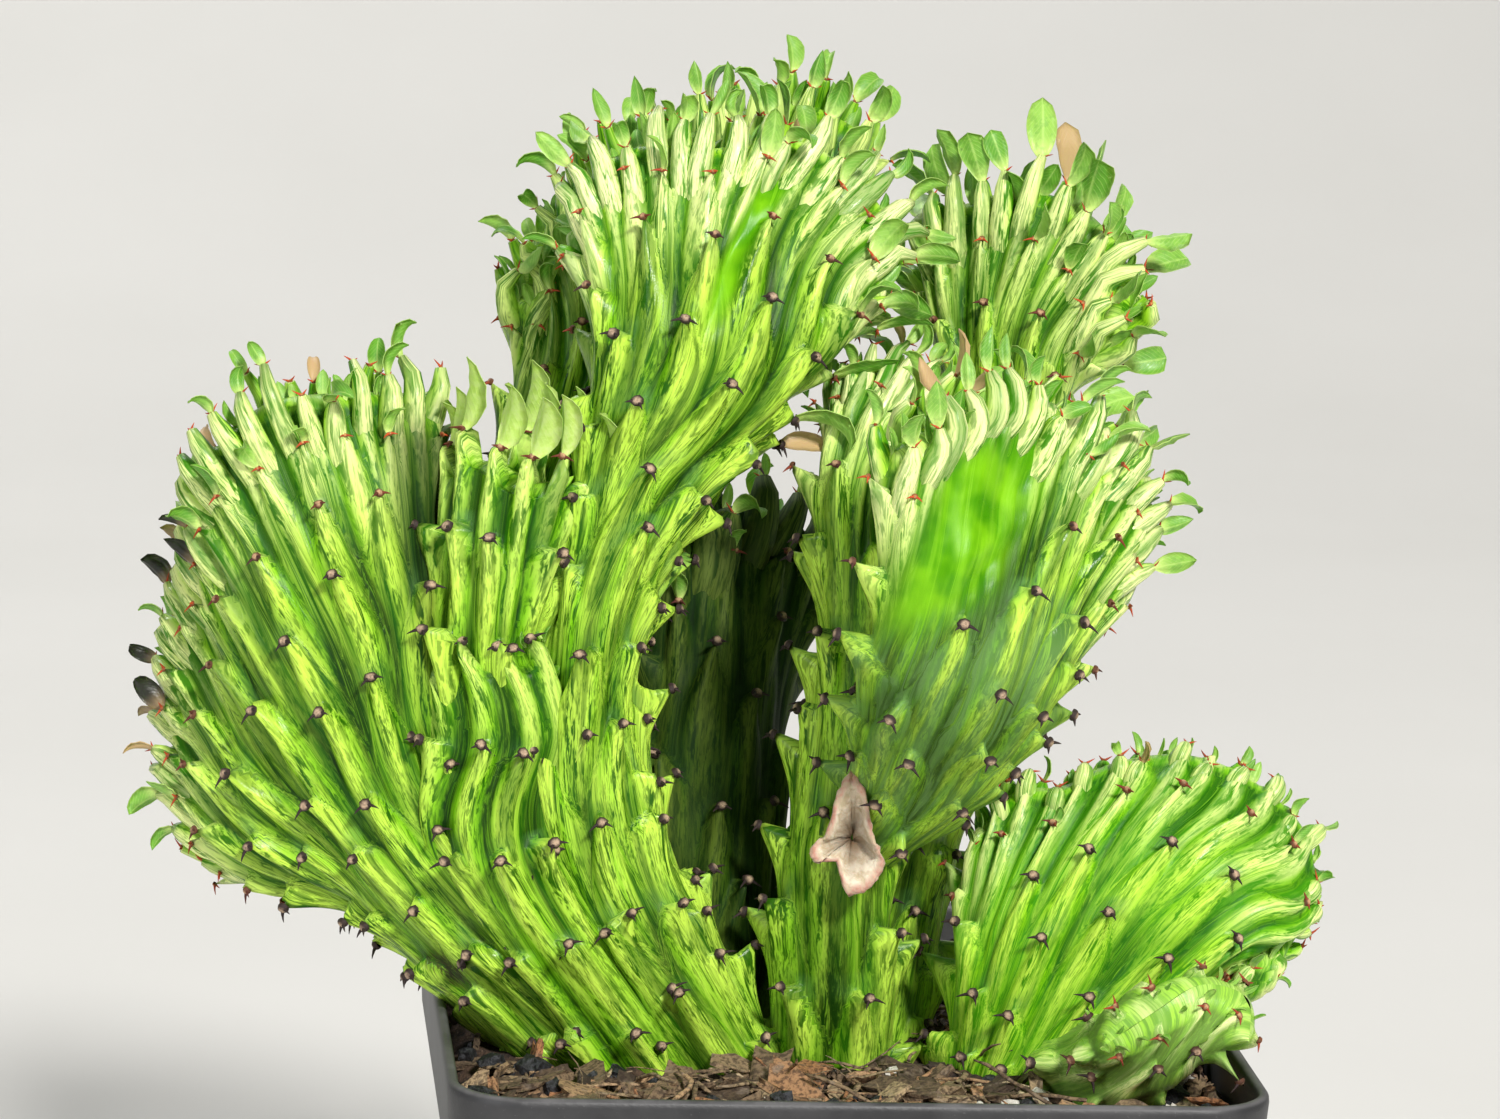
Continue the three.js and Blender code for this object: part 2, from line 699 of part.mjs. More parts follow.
function place(name, solid, color, roughness) {
  const material = new THREE.MeshStandardMaterial({ color, roughness, metalness: 0 });
  const mesh = new THREE.Mesh(geometryOf(solid), material);
  mesh.name = name;
  pottedPlant.add(mesh);
}

place("pot", pot, 0x1c1d20, 0.5);
place("soil", soil, 0x4a3a2e, 0.95);
place("crest_main", stems.main, 0x7fb52e, 0.45);
place("crest_right", stems.right, 0x7fb52e, 0.45);
place("crest_low", stems.low, 0x7fb52e, 0.45);
place("dry_husk", husk, 0xd8bfa0, 0.8);

export default pottedPlant;
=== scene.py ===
"""Looks of a potted crested euphorbia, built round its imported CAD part.

Everything is in the part's frame: metres, +Z up, +X to the right, +Y away, the pot's underside at z = 0.
The tables below are in millimetres. A crest is a thick sheet through curves that run across it, from its
root to its growing edge. Its skin is a fine grid over both faces of that sheet, raised into tubercles."""

from types import SimpleNamespace

import bpy
import numpy as np
from numpy import (arange, array, clip, cos, cross, exp, hstack, interp, linspace, maximum, minimum, pi,
                   radians, roll, sin, stack, vstack, zeros)
from mathutils import Matrix, Quaternion, Vector, kdtree


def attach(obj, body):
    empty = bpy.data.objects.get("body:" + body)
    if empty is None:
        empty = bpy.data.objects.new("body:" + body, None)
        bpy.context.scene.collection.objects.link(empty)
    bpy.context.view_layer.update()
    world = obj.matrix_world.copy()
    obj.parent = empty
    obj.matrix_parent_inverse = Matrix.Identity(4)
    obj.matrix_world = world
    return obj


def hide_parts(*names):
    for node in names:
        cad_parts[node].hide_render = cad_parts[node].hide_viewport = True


MM = 0.001
scene = bpy.context.scene
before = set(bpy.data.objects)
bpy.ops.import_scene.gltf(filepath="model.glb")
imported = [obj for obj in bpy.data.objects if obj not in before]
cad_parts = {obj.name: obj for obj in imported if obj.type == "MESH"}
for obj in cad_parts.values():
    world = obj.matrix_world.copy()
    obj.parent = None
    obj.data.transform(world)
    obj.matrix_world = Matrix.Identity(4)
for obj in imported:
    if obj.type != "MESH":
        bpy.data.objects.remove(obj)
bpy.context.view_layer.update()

# Sizes of the crests' skin. An age is the distance from the growing edge.
CELL = 0.62
CLOSING = 2.3
SIDE_ROUNDING = 1.6
ACROSS = 81
SPACING = ([0, 5, 11, 20, 32], [3.1, 4.6, 6.6, 8.6, 9.6])
ROW_STEP = ([0, 5, 11, 20, 32], [6.2, 7.5, 9.2, 10.4, 11.2])
TIP_HEIGHT = ([0, 6, 14, 30, 60], [2.4, 3.0, 3.6, 3.8, 3.2])
FIRST_HEIGHT = 1.7
BUD_SPACING = 1.8
SOIL_TOP = 83.0
PHASE = (0, 6.28)

# What a crest has unless its own entry says otherwise
PLAIN = dict(
    # scale of the leaves, share of them, width of a bald strip, leaves on the face, broad or pale leaves
    leaf=1.0, few=1, bald=0, edge_leaves=False, burnt=False, spoon=0, pale=0,
    # added age of the tubercles, their spacing, and the scale of tips, ribs, side hooks and young fingers
    old=0, dense=1, first=1, hook=1.0, rib=1, jag=1, finger=1, pillars=False, scallop=0.9,
    # bare strips (share at their top and foot, half width, ages), the skin's colours, its painted light, its
    # painted shade, and the share where the painted shadow of a gap begins
    bare=(), cream=1, bright=0, dusty=(500, 600), painted_shade=0, gap=2.0)

# Name, node, own values (thick: half thickness at the root, halfway and at the growing edge), sections
CRESTS = [
    ("left_fan", "crest_main", dict(
        # painted shadow of a narrow gap on its margin next to the front ridge
        thick=(8, 5, 2.2), leaf=0.9, cream=0.75, jag=1.5, bald=0.1, burnt=True, gap=0.445), [
        "-34 -2 78, -25 -6 78, -16 -7 78",
        "-56 -1 99, -54 -8 109, -47 -11 116",
        "-72 1 103, -72 -4 114, -67 -9 132, -57 -9 141, -53 -7 145",
        "-79 3 105, -82 8 112, -83 12 122, -82 11 133, -80 4 146, -80 -1 156, -74 -5 164, -64 -5 166, "
        "-53 2 165"]),
    ("shelf", "crest_main", dict(
        thick=(7, 5, 2.6), leaf=0.0, old=26, hook=1.5, pillars=True, dense=0.5, scallop=3.0, cream=0.2), [
        "-30 -9 79, -14 -10 79",
        "-50 -12 109, -35 -14 110",
        "-50 -13 124, -35 -14 126",
        "-51 -9 135, -45 -13 137, -39 -14 138"]),
    ("front_ridge", "crest_main", dict(
        thick=(7, 5, 2.4), leaf=1.7, pale=1, old=14, hook=1.7, pillars=True, dense=0.55, scallop=4.5,
        cream=0.3), [
        "-30 -7 80, -20 -8 80",
        "-48 -7 119, -39 -10 120",
        "-49 -5 144, -45 -10 146, -38 -12 146",
        "-48 -1 155, -45 -7 162, -40 -12 160, -34 -12 161"]),
    ("tall_fan", "crest_main", dict(
        thick=(7, 6, 2.4), bare=[(0.29, 0.245, 0.02, 5, 26)], rib=1.2, hook=1.15, edge_leaves=True), [
        "-20 -9 79, -5 -9 79",
        "-38 -10 109, -23 -11 109",
        "-36 -10 136, -28 -11 136",
        "-33 -9 157, -20 -11 155",
        "-32 -6 174, -20 -12 174, -4 -8 174",
        "-35 0 185, -33 2 193, -26 2 197, -17 -1 197, -8 1 198, 0 3 193, 5 1 186, 3 -5 179"]),
    # painted shade darkens this hollow crest all over
    ("hollow_fan", "crest_main", dict(thick=(6, 5, 2.4), leaf=0.9, old=6, cream=0.2, hook=1.2, painted_shade=0.84), [
        "-18 -1 79, -6 -1 79",
        "-24 0 109, -15 4 110, -8 12 109",
        "-22 8 127, -13 13 129, -5 19 127",
        "-22 13 142, -14 20 148, -5 24 147, 1 26 138"]),
    ("back_fan", "crest_main", dict(thick=(7, 5.5, 2.4), cream=0.5), [
        "-30 6 79, -10 8 79",
        "-44 12 113, -23 14 112",
        "-45 14 141, -19 18 141",
        "-41 14 162, -10 18 164",
        "-40 14 175, -39 19 182, -31 22 193, -18 22 198, -6 20 201, 4 18 197"]),
    ("stem_fan", "crest_right", dict(thick=(7, 5.5, 2.2), leaf=0.9, first=0.72, hook=1.15), [
        "-6 -8 79, 7 -9 79",
        "-6 -12 110, 5 -13 110",
        "-2 -11 136, 5 -13 137",
        "-3 -10 158, 5 -12 157",
        "-2 -4 168, 2 -1 170, 6 -4 169, 13 -8 167, 17 -12 162"]),
    ("near_fan", "crest_right", dict(
        thick=(6, 5, 2.4), bare=[(0.14, 0.09, 0.085, 5, 25)], cream=0.9, dusty=(20, 32)), [
        "0 -11 112, 8 -11 114",
        "0 -26 128, 10 -25 127, 20 -19 130",
        "0 -41 145, 12 -40 143, 25 -25 140",
        "0 -46 167, 8 -40 171, 18 -31 171, 27 -25 167, 33 -21 160, 32 -21 152, 27 -22 146"]),
    ("far_fan", "crest_right", dict(thick=(7, 5.5, 2.2), leaf=1.25, spoon=1, cream=0.75), [
        "0 3 79, 12 3 79",
        "4 6 110, 16 6 110",
        "12 6 139, 22 3 141",
        "14 8 162, 27 3 165",
        "12 14 181, 13 12 188, 18 10 191, 24 7 192, 31 5 189, 35 2 183, 33 -2 174"]),
    ("right_fan", "crest_low", dict(
        thick=(7, 6, 1.7), leaf=0.6, few=0.55, old=5, first=0.85, finger=0.32, cream=0.7, rib=1.2,
        # painted light: this crest is coloured brighter
        bright=1), [
        "16 -9 78, 23 -12 78, 32 -19 78",
        "16 -11 92, 24 -14 96, 34 -17 96, 41 -20 91, 40 -21 87",
        "16 -11 103, 28 -14 110, 42 -17 111, 51 -19 103, 46 -22 94",
        "17 -10 112, 22 -9 118, 28 -10 119, 35 -9 122, 44 -9 123, 52 -9 120, 59 -11 114, 60 -14 108, "
        "58 -18 102, 49 -22 100"]),
    ("corner_fan", "crest_low", dict(
        # painted light: brighter and paler than the rest
        thick=(5, 5, 2.4), leaf=0.3, few=0.3, old=12, dense=0.8, hook=0.6, cream=1.5, bright=1.22), [
        "22 -16 82, 31 -20 86",
        "28 -30 88, 41 -34 91",
        "30 -40 93, 36 -41 98, 42 -39 101, 48 -38 99, 48 -41 94"]),
]


# Small helpers

def unit(v):
    return v / maximum(np.linalg.norm(v, axis=-1, keepdims=True), 1e-9)


def smooth(low, high, x):
    t = clip((x - low) / (high - low), 0, 1)
    return t * t * (3 - 2 * t)


def curve(text):
    """Points written as x y z, x y z."""
    return array([[float(value) for value in point.split()] for point in text.split(",")])


def spline(points, t):
    """Uniform Catmull-Rom curve through points along the first axis, at shares t of the way."""
    n = len(points)
    padded = np.concatenate([2 * points[:1] - points[1:2], points, 2 * points[-1:] - points[-2:-1]])
    x = clip(t, 0, 1) * (n - 1)
    i = minimum(x.astype(int), n - 2)
    w = (x - i).reshape(-1, *[1] * (points.ndim - 1))
    before, here, there, after = (padded[i + k] for k in range(4))
    rise_here, rise_there = 0.5 * (there - before), 0.5 * (after - here)
    cubic = 2 * here - 2 * there + rise_here + rise_there
    square = -3 * here + 3 * there - 2 * rise_here - rise_there
    return cubic * w**3 + square * w**2 + rise_here * w + here


def running_length(points):
    steps = np.linalg.norm(np.diff(points, axis=0), axis=-1)
    return hstack([0, np.cumsum(steps)])


def even_points(points, shares):
    """Points of the curve at shares of its length."""
    t = linspace(0, 1, 201)
    lengths = running_length(spline(points, t))
    return spline(points, interp(shares * lengths[-1], lengths, t))


def frames(path, guide):
    """The directions along a path, across it, and away from it on the guide's side."""
    along = unit(np.gradient(path, axis=0))
    across = unit(cross(along, guide))
    return along, across, unit(cross(across, along))


def grid_faces(rows, columns, wrap):
    """Four-cornered faces of a grid of points, row by row, closed round if wrap is set."""
    j, i = np.meshgrid(arange(rows - 1), arange(columns if wrap else columns - 1), indexing="ij")
    here, there = j * columns + i, j * columns + (i + 1) % columns
    return stack([here, there, there + columns, here + columns], -1).reshape(-1, 4)


def fan_faces(ring, middle):
    """Triangles between a ring of points and one more point."""
    return stack([ring, roll(ring, -1), np.full(len(ring), middle)], -1)


def circle(sides):
    angles = arange(sides) / sides * 2 * pi
    return cos(angles), sin(angles)


def tube(path, across, outward, wide, high, sides):
    """A tube along a path, closed at its end, with its own half width and half height at each ring."""
    c, s = (x[None, :, None] for x in circle(sides))
    ring = c * across[:, None] * wide[:, None, None] + s * outward[:, None] * high[:, None, None]
    points = vstack([(path[:, None] + ring).reshape(-1, 3), path[-1:]])
    cap = fan_faces((len(path) - 1) * sides + arange(sides), len(points) - 1)
    return points, [grid_faces(len(path), sides, True), cap]


def add_object(name, data):
    obj = bpy.data.objects.new(name, data)
    scene.collection.objects.link(obj)
    return obj


class Build:
    """Collects faces with values at their points, and makes one mesh object of them."""

    def __init__(self):
        self.points, self.faces, self.values, self.count = [], [], {}, 0

    def add(self, points, faces, **values):
        """Each value is given as three numbers or arrays that fit the points."""
        shape = points.shape[:-1]
        self.points.append(points.reshape(-1, 3))
        self.faces.extend(f + self.count for f in faces)
        for name, parts in values.items():
            full = stack([np.broadcast_to(part, shape) for part in parts], -1)
            self.values.setdefault(name, []).append(full.reshape(-1, 3))
        self.count += len(self.points[-1])

    def finish(self, name, material, node, slot):
        mesh = bpy.data.meshes.new(name)
        points = vstack(self.points) * MM
        corners = hstack([f.ravel() for f in self.faces])
        totals = hstack([np.full(len(f), f.shape[1]) for f in self.faces])
        mesh.vertices.add(len(points))
        mesh.vertices.foreach_set("co", points.ravel())
        mesh.loops.add(len(corners))
        mesh.loops.foreach_set("vertex_index", corners.astype(np.int32))
        mesh.polygons.add(len(totals))
        mesh.polygons.foreach_set("loop_start", (np.cumsum(totals) - totals).astype(np.int32))
        mesh.update(calc_edges=True)
        mesh.polygons.foreach_set("use_smooth", np.ones(len(totals), bool))
        for key, parts in self.values.items():
            layer = mesh.attributes.new(key, "FLOAT_VECTOR", "POINT")
            layer.data.foreach_set("vector", vstack(parts).astype(np.float32).ravel())
        mesh.validate()
        mesh.materials.append(material)
        obj = add_object(name, mesh)
        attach(obj, "root")
        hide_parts(node)
        return obj


# The crests

class Crest:
    """The fine grid over one crest: rows run from its root to its growing edge, columns round it from its
    left side across the front to its right side and back across the rear."""

    def __init__(self, spec, sections):
        self.spec = spec
        u = 0.5 - 0.5 * cos(pi * linspace(0, 1, ACROSS))
        across = stack([even_points(curve(text), u) for text in sections])
        v = linspace(0, 1, 201)
        flow = running_length(spline(across[:, ACROSS // 2], v))
        self.columns = 2 * max(24, round(running_length(across[-1])[-1] / CELL))
        open_ages = arange(flow[-1], CLOSING, -CELL)
        if open_ages[-1] - CLOSING < 0.3 * CELL:
            open_ages = open_ages[:-1]
        ages = hstack([open_ages, CLOSING * (1 - sin(linspace(0, pi / 2, 7)))])
        levels = interp(flow[-1] - ages, flow, v)
        self.rows = len(levels)
        sheet = spline(across, levels)
        normal = unit(cross(np.gradient(sheet, axis=1), np.gradient(sheet, levels, axis=0)))
        half = interp(levels, [0, 0.5, 1], spec.thick)
        width = np.linalg.norm(np.diff(sheet, axis=1), axis=-1).sum(1)
        rounding = minimum(width / 2, SIDE_ROUNDING * half)
        inset = clip(minimum(u, 1 - u) * width[:, None] / rounding[:, None], 0, 1)
        out = normal * (half[:, None] * np.sqrt(1 - (1 - inset) ** 2))[..., None]
        closing = np.sqrt(1 - (1 - clip(ages / CLOSING, 0, 1)) ** 2)

        m = self.columns // 2
        front_share, rear_share = arange(m) / m, 1 - arange(m) / m
        body, open_body = (zeros((self.rows, self.columns, 3)) for _ in range(2))
        for row in range(self.rows):
            for start, sign, share in ((0, 1, front_share), (m, -1, rear_share)):
                lengths = running_length(sheet[row] + sign * out[row])
                at = interp(share * lengths[-1], lengths, arange(ACROSS))
                i = minimum(at.astype(int), ACROSS - 2)
                w = (at - i)[:, None]
                middle = sheet[row, i] * (1 - w) + sheet[row, i + 1] * w
                offset = sign * (out[row, i] * (1 - w) + out[row, i + 1] * w)
                open_body[row, start:start + m] = middle + offset
                body[row, start:start + m] = middle + offset * closing[row]
        self.body = body
        self.share = arange(self.columns) / self.columns
        steps = np.linalg.norm(np.diff(open_body, axis=0), axis=-1)
        self.age = vstack([np.cumsum(steps[::-1], axis=0)[::-1], zeros((1, self.columns))])
        # the length round the crest, as each column sees it
        self.metric = np.linalg.norm(roll(open_body, -1, axis=1) - roll(open_body, 1, axis=1), axis=-1)
        self.metric *= self.columns / 2
        sideways = roll(body, -1, axis=1) - roll(body, 1, axis=1)
        self.normal = unit(cross(sideways, np.gradient(body, axis=0)))
        self.normal[-1] = unit(open_body[-1] - open_body[-3])
        self.growth = unit(np.gradient(open_body, axis=0))
        self.radius = self.metric.mean() / (2 * pi)

    def flow(self, angle, age):
        """Where the streaks of a place lie: round the crest and down from its growing edge."""
        return self.radius * cos(angle), self.radius * sin(angle), age

    def column(self, share):
        return int((share % 1) * self.columns) % self.columns

    def at(self, share, age):
        """Point, outward and growth directions and length round, at a share of the way round and an age."""
        part = (share % 1) * self.columns % 1
        total = 0
        for i, w in ((self.column(share), 1 - part), ((self.column(share) + 1) % self.columns, part)):
            y = interp(-age, -self.age[:, i], arange(self.rows))
            j = min(int(y), self.rows - 2)
            f = y - j
            layers = [a[j, i] * (1 - f) + a[j + 1, i] * f for a in (self.body, self.normal, self.growth)]
            total = total + hstack([*layers, self.metric[j, i]]) * w
        return total[:3], unit(total[3:6]), unit(total[6:9]), total[9]

    def longest_age(self, share):
        return self.age[0, self.column(share)]

    def bareness(self, share, age):
        """1 where the skin has no tubercles."""
        result = zeros(np.broadcast(share, age).shape)
        for top, low, half, start, end in self.spec.bare:
            centre = top + (low - top) * clip((age - start) / (end - start), 0, 1)
            near = 1 - smooth(0.5, 1.35, abs(share - centre) / half)
            ends = smooth(start - 3, start + 3, age) * (1 - smooth(end - 4, end + 4, age))
            result = maximum(result, near * ends)
        return result

    def painted_shade(self, share, age):
        """Painted shade: the crest's own amount, and 1 where the skin lies in the dark of a narrow gap beside
        another crest.
        """
        start = self.spec.gap
        beside = smooth(start - 0.03, start + 0.02, share) * (1 - smooth(0.54, 0.6, share))
        return maximum(self.spec.painted_shade, 0.8 * beside * smooth(2, 9, age) * (1 - smooth(34, 48, age)))

    def places(self, rng):
        """The tubercles, row by row from the growing edge down: those on the two faces, and those that stand
        out at the sheet's two sides."""
        spec, found = self.spec, []

        def note(age, **values):
            found.append(SimpleNamespace(age=age, old=smooth(2, 26, age + spec.old), **values))

        age, odd = 1.2, False
        half = self.columns // 2
        while age < self.age[0].max() - 3:
            first = age < 4
            spacing = interp(age + spec.old, *SPACING) * (spec.first if first else 1) * spec.dense
            for side in range(2):
                shares = ((arange(half + 1) / half + side) / 2)[::3]
                lengths = running_length(array([self.at(s, age)[0] for s in shares]))
                count = max(2, round(lengths[-1] / spacing))
                even = (arange(count) + (0.5 if odd or first else 0)) / count
                even = even[even > 0]
                if age > 7:
                    margin = 0.42 * spacing / lengths[-1]
                    even = even[(even > margin) & (even < 1 - margin)]
                even = even + rng.uniform(-0.14, 0.14, len(even)) / count
                for share in interp(even * lengths[-1], lengths, shares):
                    own_age = age * rng.uniform(0.97, 1.03) + (0 if first else rng.uniform(-0.9, 0.9))
                    if own_age > self.longest_age(share) - 3:
                        continue
                    if rng.random() < self.bareness(share, own_age) * 1.6:
                        continue
                    note(own_age, share=share % 1, spacing=spacing, side=0, first=first and spec.old < 10)
            age += interp(age + spec.old, *ROW_STEP) * (1.2 if spec.pillars else spec.dense)
            odd = not odd
        for share in (0.0, 0.5):
            age = rng.uniform(4.5, 6.5)
            while age < self.longest_age(share) - 3:
                note(age, share=share, spacing=interp(age + spec.old, *SPACING), side=1, first=False)
                age += 1.1 * interp(age + spec.old, *ROW_STEP) * rng.uniform(0.85, 1.2)
        return found


def raise_tubercles(crest, places, rng):
    """Height of the skin over the crest's body, how far it leans, and what its colours need."""
    power, lean, patch, own, keel = (zeros(crest.age.shape) for _ in range(5))
    spec, columns = crest.spec, crest.columns
    for tip in places:
        age, spacing, side, old = tip.age, tip.spacing, tip.side, tip.old
        metric = crest.at(tip.share, age)[3]
        height = interp(age, *TIP_HEIGHT) * rng.uniform(0.75, 1.25) * (1 if side else spec.hook)
        height += side * rng.uniform(1.6, 2.8) * (0.4 + 0.6 * old) * spec.jag
        if tip.first:
            height = FIRST_HEIGHT
        reach = int(0.66 * spacing / metric * columns) + 2
        cols = (arange(-reach, reach + 1) + int(round(tip.share * columns))) % columns
        rise = 0.6 + 0.6 * old + 0.3 * side
        rows = np.where(crest.age[:, cols].max(1) > age - rise - 1)[0]
        block = np.ix_(rows, cols)
        d = crest.age[block] - age
        below = maximum(d, 0)
        wave = 0.06 * sin(d / 5.5 + rng.uniform(*PHASE)) * smooth(0, 6, d)
        ds = (crest.share[cols] - tip.share + 0.5) % 1 - 0.5
        off = abs(ds[None] * metric + wave * spacing)

        def profile(half, round_top, depth):
            """A form of this half width that rises over the tip and fades out below it."""
            t = clip(off / half, 0, 1)
            nose = d - rise * 0.8 * t * t
            fade = exp(-maximum(nose, 0) / depth)
            return round_top(t) * np.where(nose < 0, smooth(-rise, 0, nose), fade)

        # the hook: a keel that runs out to a point at the tip and widens quickly below it
        spread = minimum(0.55 + 0.25 * old + (0.44 + 0.1 * side) * below, 0.54 * spacing)
        hook = profile(spread, lambda t: 1 - t**1.7, 0.52 * spacing * (1.15 - 0.25 * side))
        # the long rib that carries it, rounded across and narrowing towards the tip
        thin = rng.uniform(0.85, 1.2) * spec.rib
        half = minimum(0.6 + 0.25 * old + 0.26 * thin * below, 0.52 * spacing)
        carried = 0.9 if tip.first else (0.36 - 0.06 * old) * (1 - 0.5 * side)
        if spec.pillars:
            half, carried = minimum(1.0 + 0.1 * below, 1.8), 0.62
        rib = profile(half, lambda t: (1 - t * t) ** 1.6, 17)
        weight = (height * (carried * rib + (1 - carried) * hook)) ** 3
        power[block] += weight
        lean[block] += weight * exp(-abs(d) / 2.0) * (1.0 - 0.7 * old)
        own[block] += weight * rng.random()
        # a line down each rib's crest, later painted lighter: partly its paler skin, partly painted highlight
        line = (1 - clip(off / (0.6 * half + 0.2), 0, 1) ** 2) * exp(-below / 22) * (d > -0.6)
        keel[block] = maximum(keel[block], line)
        above = smooth(-3.0 - 1.5 * old, -0.8, d) * (1 - smooth(-0.2, 1.0, d))
        beside = exp(-((ds[None] * metric / (0.13 * spacing + 0.6)) ** 2))
        strength = (not tip.first) * (0.1 + 0.9 * old * old) * rng.uniform(0.35, 1)
        patch[block] = maximum(patch[block], above * beside * strength)
    total = maximum(power, 1e-9)
    return power ** (1 / 3), 0.1 + 0.75 * lean / total, patch, own / total, keel


def roll_noise(crest, rng):
    """Slow swells of the body and fine folds along its growth, so that no face is a plain loft."""
    angle = 2 * pi * crest.share[None]
    swells, folds = zeros(crest.age.shape), zeros(crest.age.shape)
    for k in (2, 3, 5, 8):
        swells += 1.2 * sin(k * angle + rng.uniform(*PHASE) + crest.age / rng.uniform(7, 14)) / k
    around = crest.metric.mean()
    for width, strength in ((5.2, 0.34), (3.4, 0.26), (2.2, 0.16)):
        k = round(around / width)
        drift = 1.1 * sin(crest.age / rng.uniform(6, 9) + 2 * angle + rng.uniform(*PHASE))
        fade = 0.6 + 0.4 * sin(crest.age / rng.uniform(4, 6) + 5 * angle + rng.uniform(*PHASE))
        folds += strength * abs(sin(0.5 * (k * angle + drift + rng.uniform(*PHASE)))) * fade
    return swells * 0.45, folds


def finger(crest, tip, rng, build):
    """One young tubercle's free end: it rises slowly out of the crest's face and bends off it."""
    rings, sides = 14, 8
    spec, share, spacing = crest.spec, tip.share, tip.spacing
    start = rng.choice([0.2, 0.9, 2.0, 3.6], p=[0.3, 0.35, 0.2, 0.15])
    length = min(rng.uniform(9.5, 14) * spec.finger, crest.longest_age(share) - 4 - start)
    length *= 1 - 0.4 * float(crest.bareness(share, 11))
    q = linspace(0, 1, rings)
    radius = rng.uniform(0.38, 0.48) * spacing * (0.5 + 0.5 * spec.finger)
    extra = rng.uniform(0.3, 1.6) * spec.finger
    rise = rng.uniform(0.9, 2.4) * spec.finger
    sway = rng.uniform(-0.5, 0.5)
    path, normals = [], []
    for x in q:
        p, n, g, _ = crest.at(share, start + length * (1 - x))
        lift = -1.5 * radius + (1.5 * radius + 0.5) * smooth(0, 0.75, x) + rise * x**5
        path.append(p + n * lift + g * extra * x**3 + cross(n, g) * sway * sin(x * 3.1))
        normals.append(n)
    along, across, outward = frames(array(path), array(normals))
    taper = 0.42 + 0.58 * np.sqrt(clip(1 - ((q - 0.55) / 0.45) ** 2, 0, 1))
    wide = radius * np.where(q > 0.55, taper, 1) * (0.75 + 0.25 * smooth(0, 0.4, q))
    points, faces = tube(array(path), -across, outward, wide, wide * rng.uniform(1.0, 1.3), sides)
    ages = np.append(np.repeat(start + length * (1 - q), sides), start)
    turn, top = (np.append(np.tile(x, rings), last) for x, last in zip(circle(sides), (0, 1)))
    # the outer side is painted lighter and the inner side darker: painted highlight and painted shade over
    # the finger's own greens
    ridge = 0.3 + 0.7 * clip(top * 0.8 + 0.35, 0, 1)
    build.add(points, faces, flow=crest.flow(2 * pi * share + turn * 0.4 * spacing / crest.radius, ages),
              form=[ridge, 0, rng.random()], skin=[0, 0, spec.cream],
              line=[clip(top, 0, 1), crest.painted_shade(share, ages), spec.bright])
    return path[-1], unit(along[-1] + 0.15 * outward[-1]), outward[-1], across[-1]


def leaf(build, rng, at, along, outward, length, width, curl, fold,
         tone=0.0, point=0.8, turn=0.5, sickle=0.0, dry=0.0):
    """A blade from its foot: folded along its rib and curling outwards, wider beyond its middle."""
    rows, cols, thick = 9, 5, 0.34
    l = linspace(0, 1, rows)
    w = linspace(-1, 1, cols)
    outward = unit(outward - along * (outward @ along))
    side = cross(along, outward)
    twist = rng.normal(0, turn)
    c, s = cos(twist), sin(twist)
    outward, side = outward * c + side * s, side * c - outward * s
    bend = curl * (0.35 * l + 0.65 * l**2.6)[:, None]
    heading = cos(bend) * along + sin(bend) * outward
    under = (cos(bend) * outward - sin(bend) * along)[:, None]
    centre = at + vstack([zeros((1, 3)), np.cumsum(heading[:-1], axis=0)]) * length / (rows - 1)
    centre = centre + side * (sickle * length * l**2)[:, None]
    shape = (l + 0.06) ** rng.uniform(0.6, 0.95) * (1.0001 - l) ** point
    half = 0.5 * width * shape / shape.max()
    half[0] = max(half[0], 0.12 * width)
    wavy = rng.uniform(-0.12, 0.12, (rows, cols)) * (abs(w) > 0.4)
    lift = (fold * abs(w)[None] + wavy) * half[:, None]
    middle = centre[:, None] + side * (w[None] * half[:, None])[..., None] - under * lift[..., None]
    thickness = under * (thick * (1.15 - 0.75 * abs(w))[None] * (1.1 - 0.6 * l)[:, None] / 2)[..., None]
    n = rows * cols
    quads = grid_faces(rows, cols, False)
    left, right = range(n - 2 * cols, 0, -cols), range(2 * cols - 1, n, cols)
    rim = array([*range(cols), *right, *range(n - 2, n - cols - 1, -1), *left])
    after = roll(rim, -1)
    build.add(stack([middle - thickness, middle + thickness]),
              [quads[:, ::-1], quads + n, stack([rim, rim + n, after + n, after], -1)],
              blade=[w, l[:, None], rng.random()], tone=[tone, dry, 0])


def areole(build, at, facing, side, old, rng):
    """A woody cushion at a tubercle's tip, with its pair of spines."""
    rings, sides, size = 5, 8, 0.34 + 0.5 * old
    up = unit(cross(side, facing))
    polar = linspace(0.1, 0.62 * pi, rings)
    wobble = 1 + rng.uniform(-0.16, 0.16, sides)
    c, s = ((x * wobble)[None, :, None] for x in circle(sides))
    flat = c * side + s * 0.85 * up
    ball = sin(polar)[:, None, None] * flat + (cos(polar) * 0.75)[:, None, None] * facing
    points = vstack([(at + ball * size).reshape(-1, 3), [at + facing * size * 0.55]])
    core = np.append(np.repeat(linspace(1, 0, rings), sides), 1)
    build.add(points, [grid_faces(rings, sides, True)[:, ::-1], fan_faces(arange(sides), len(points) - 1)],
              knob=[core, old, rng.random()])
    for sign in (-1, 1):
        heading = side * sign * rng.uniform(0.7, 1.1) + facing * rng.uniform(0.35, 0.8)
        heading = unit(heading - up * rng.uniform(0.1, 0.5))
        length = rng.uniform(0.9, 1.5) * (0.9 + 0.35 * old)
        steps = array([0, 0.45, 0.8, 1])[:, None]
        path = at + heading * (steps * length + size * 0.3) - up * 0.25 * length * steps**2
        _, across, normal = frames(path, facing)
        thick = array([0.24, 0.15, 0.08, 0.02]) * (0.8 + 0.5 * old)
        build.add(*tube(path, -across, normal, thick, thick, 5), knob=[-1.0, old, rng.random()])


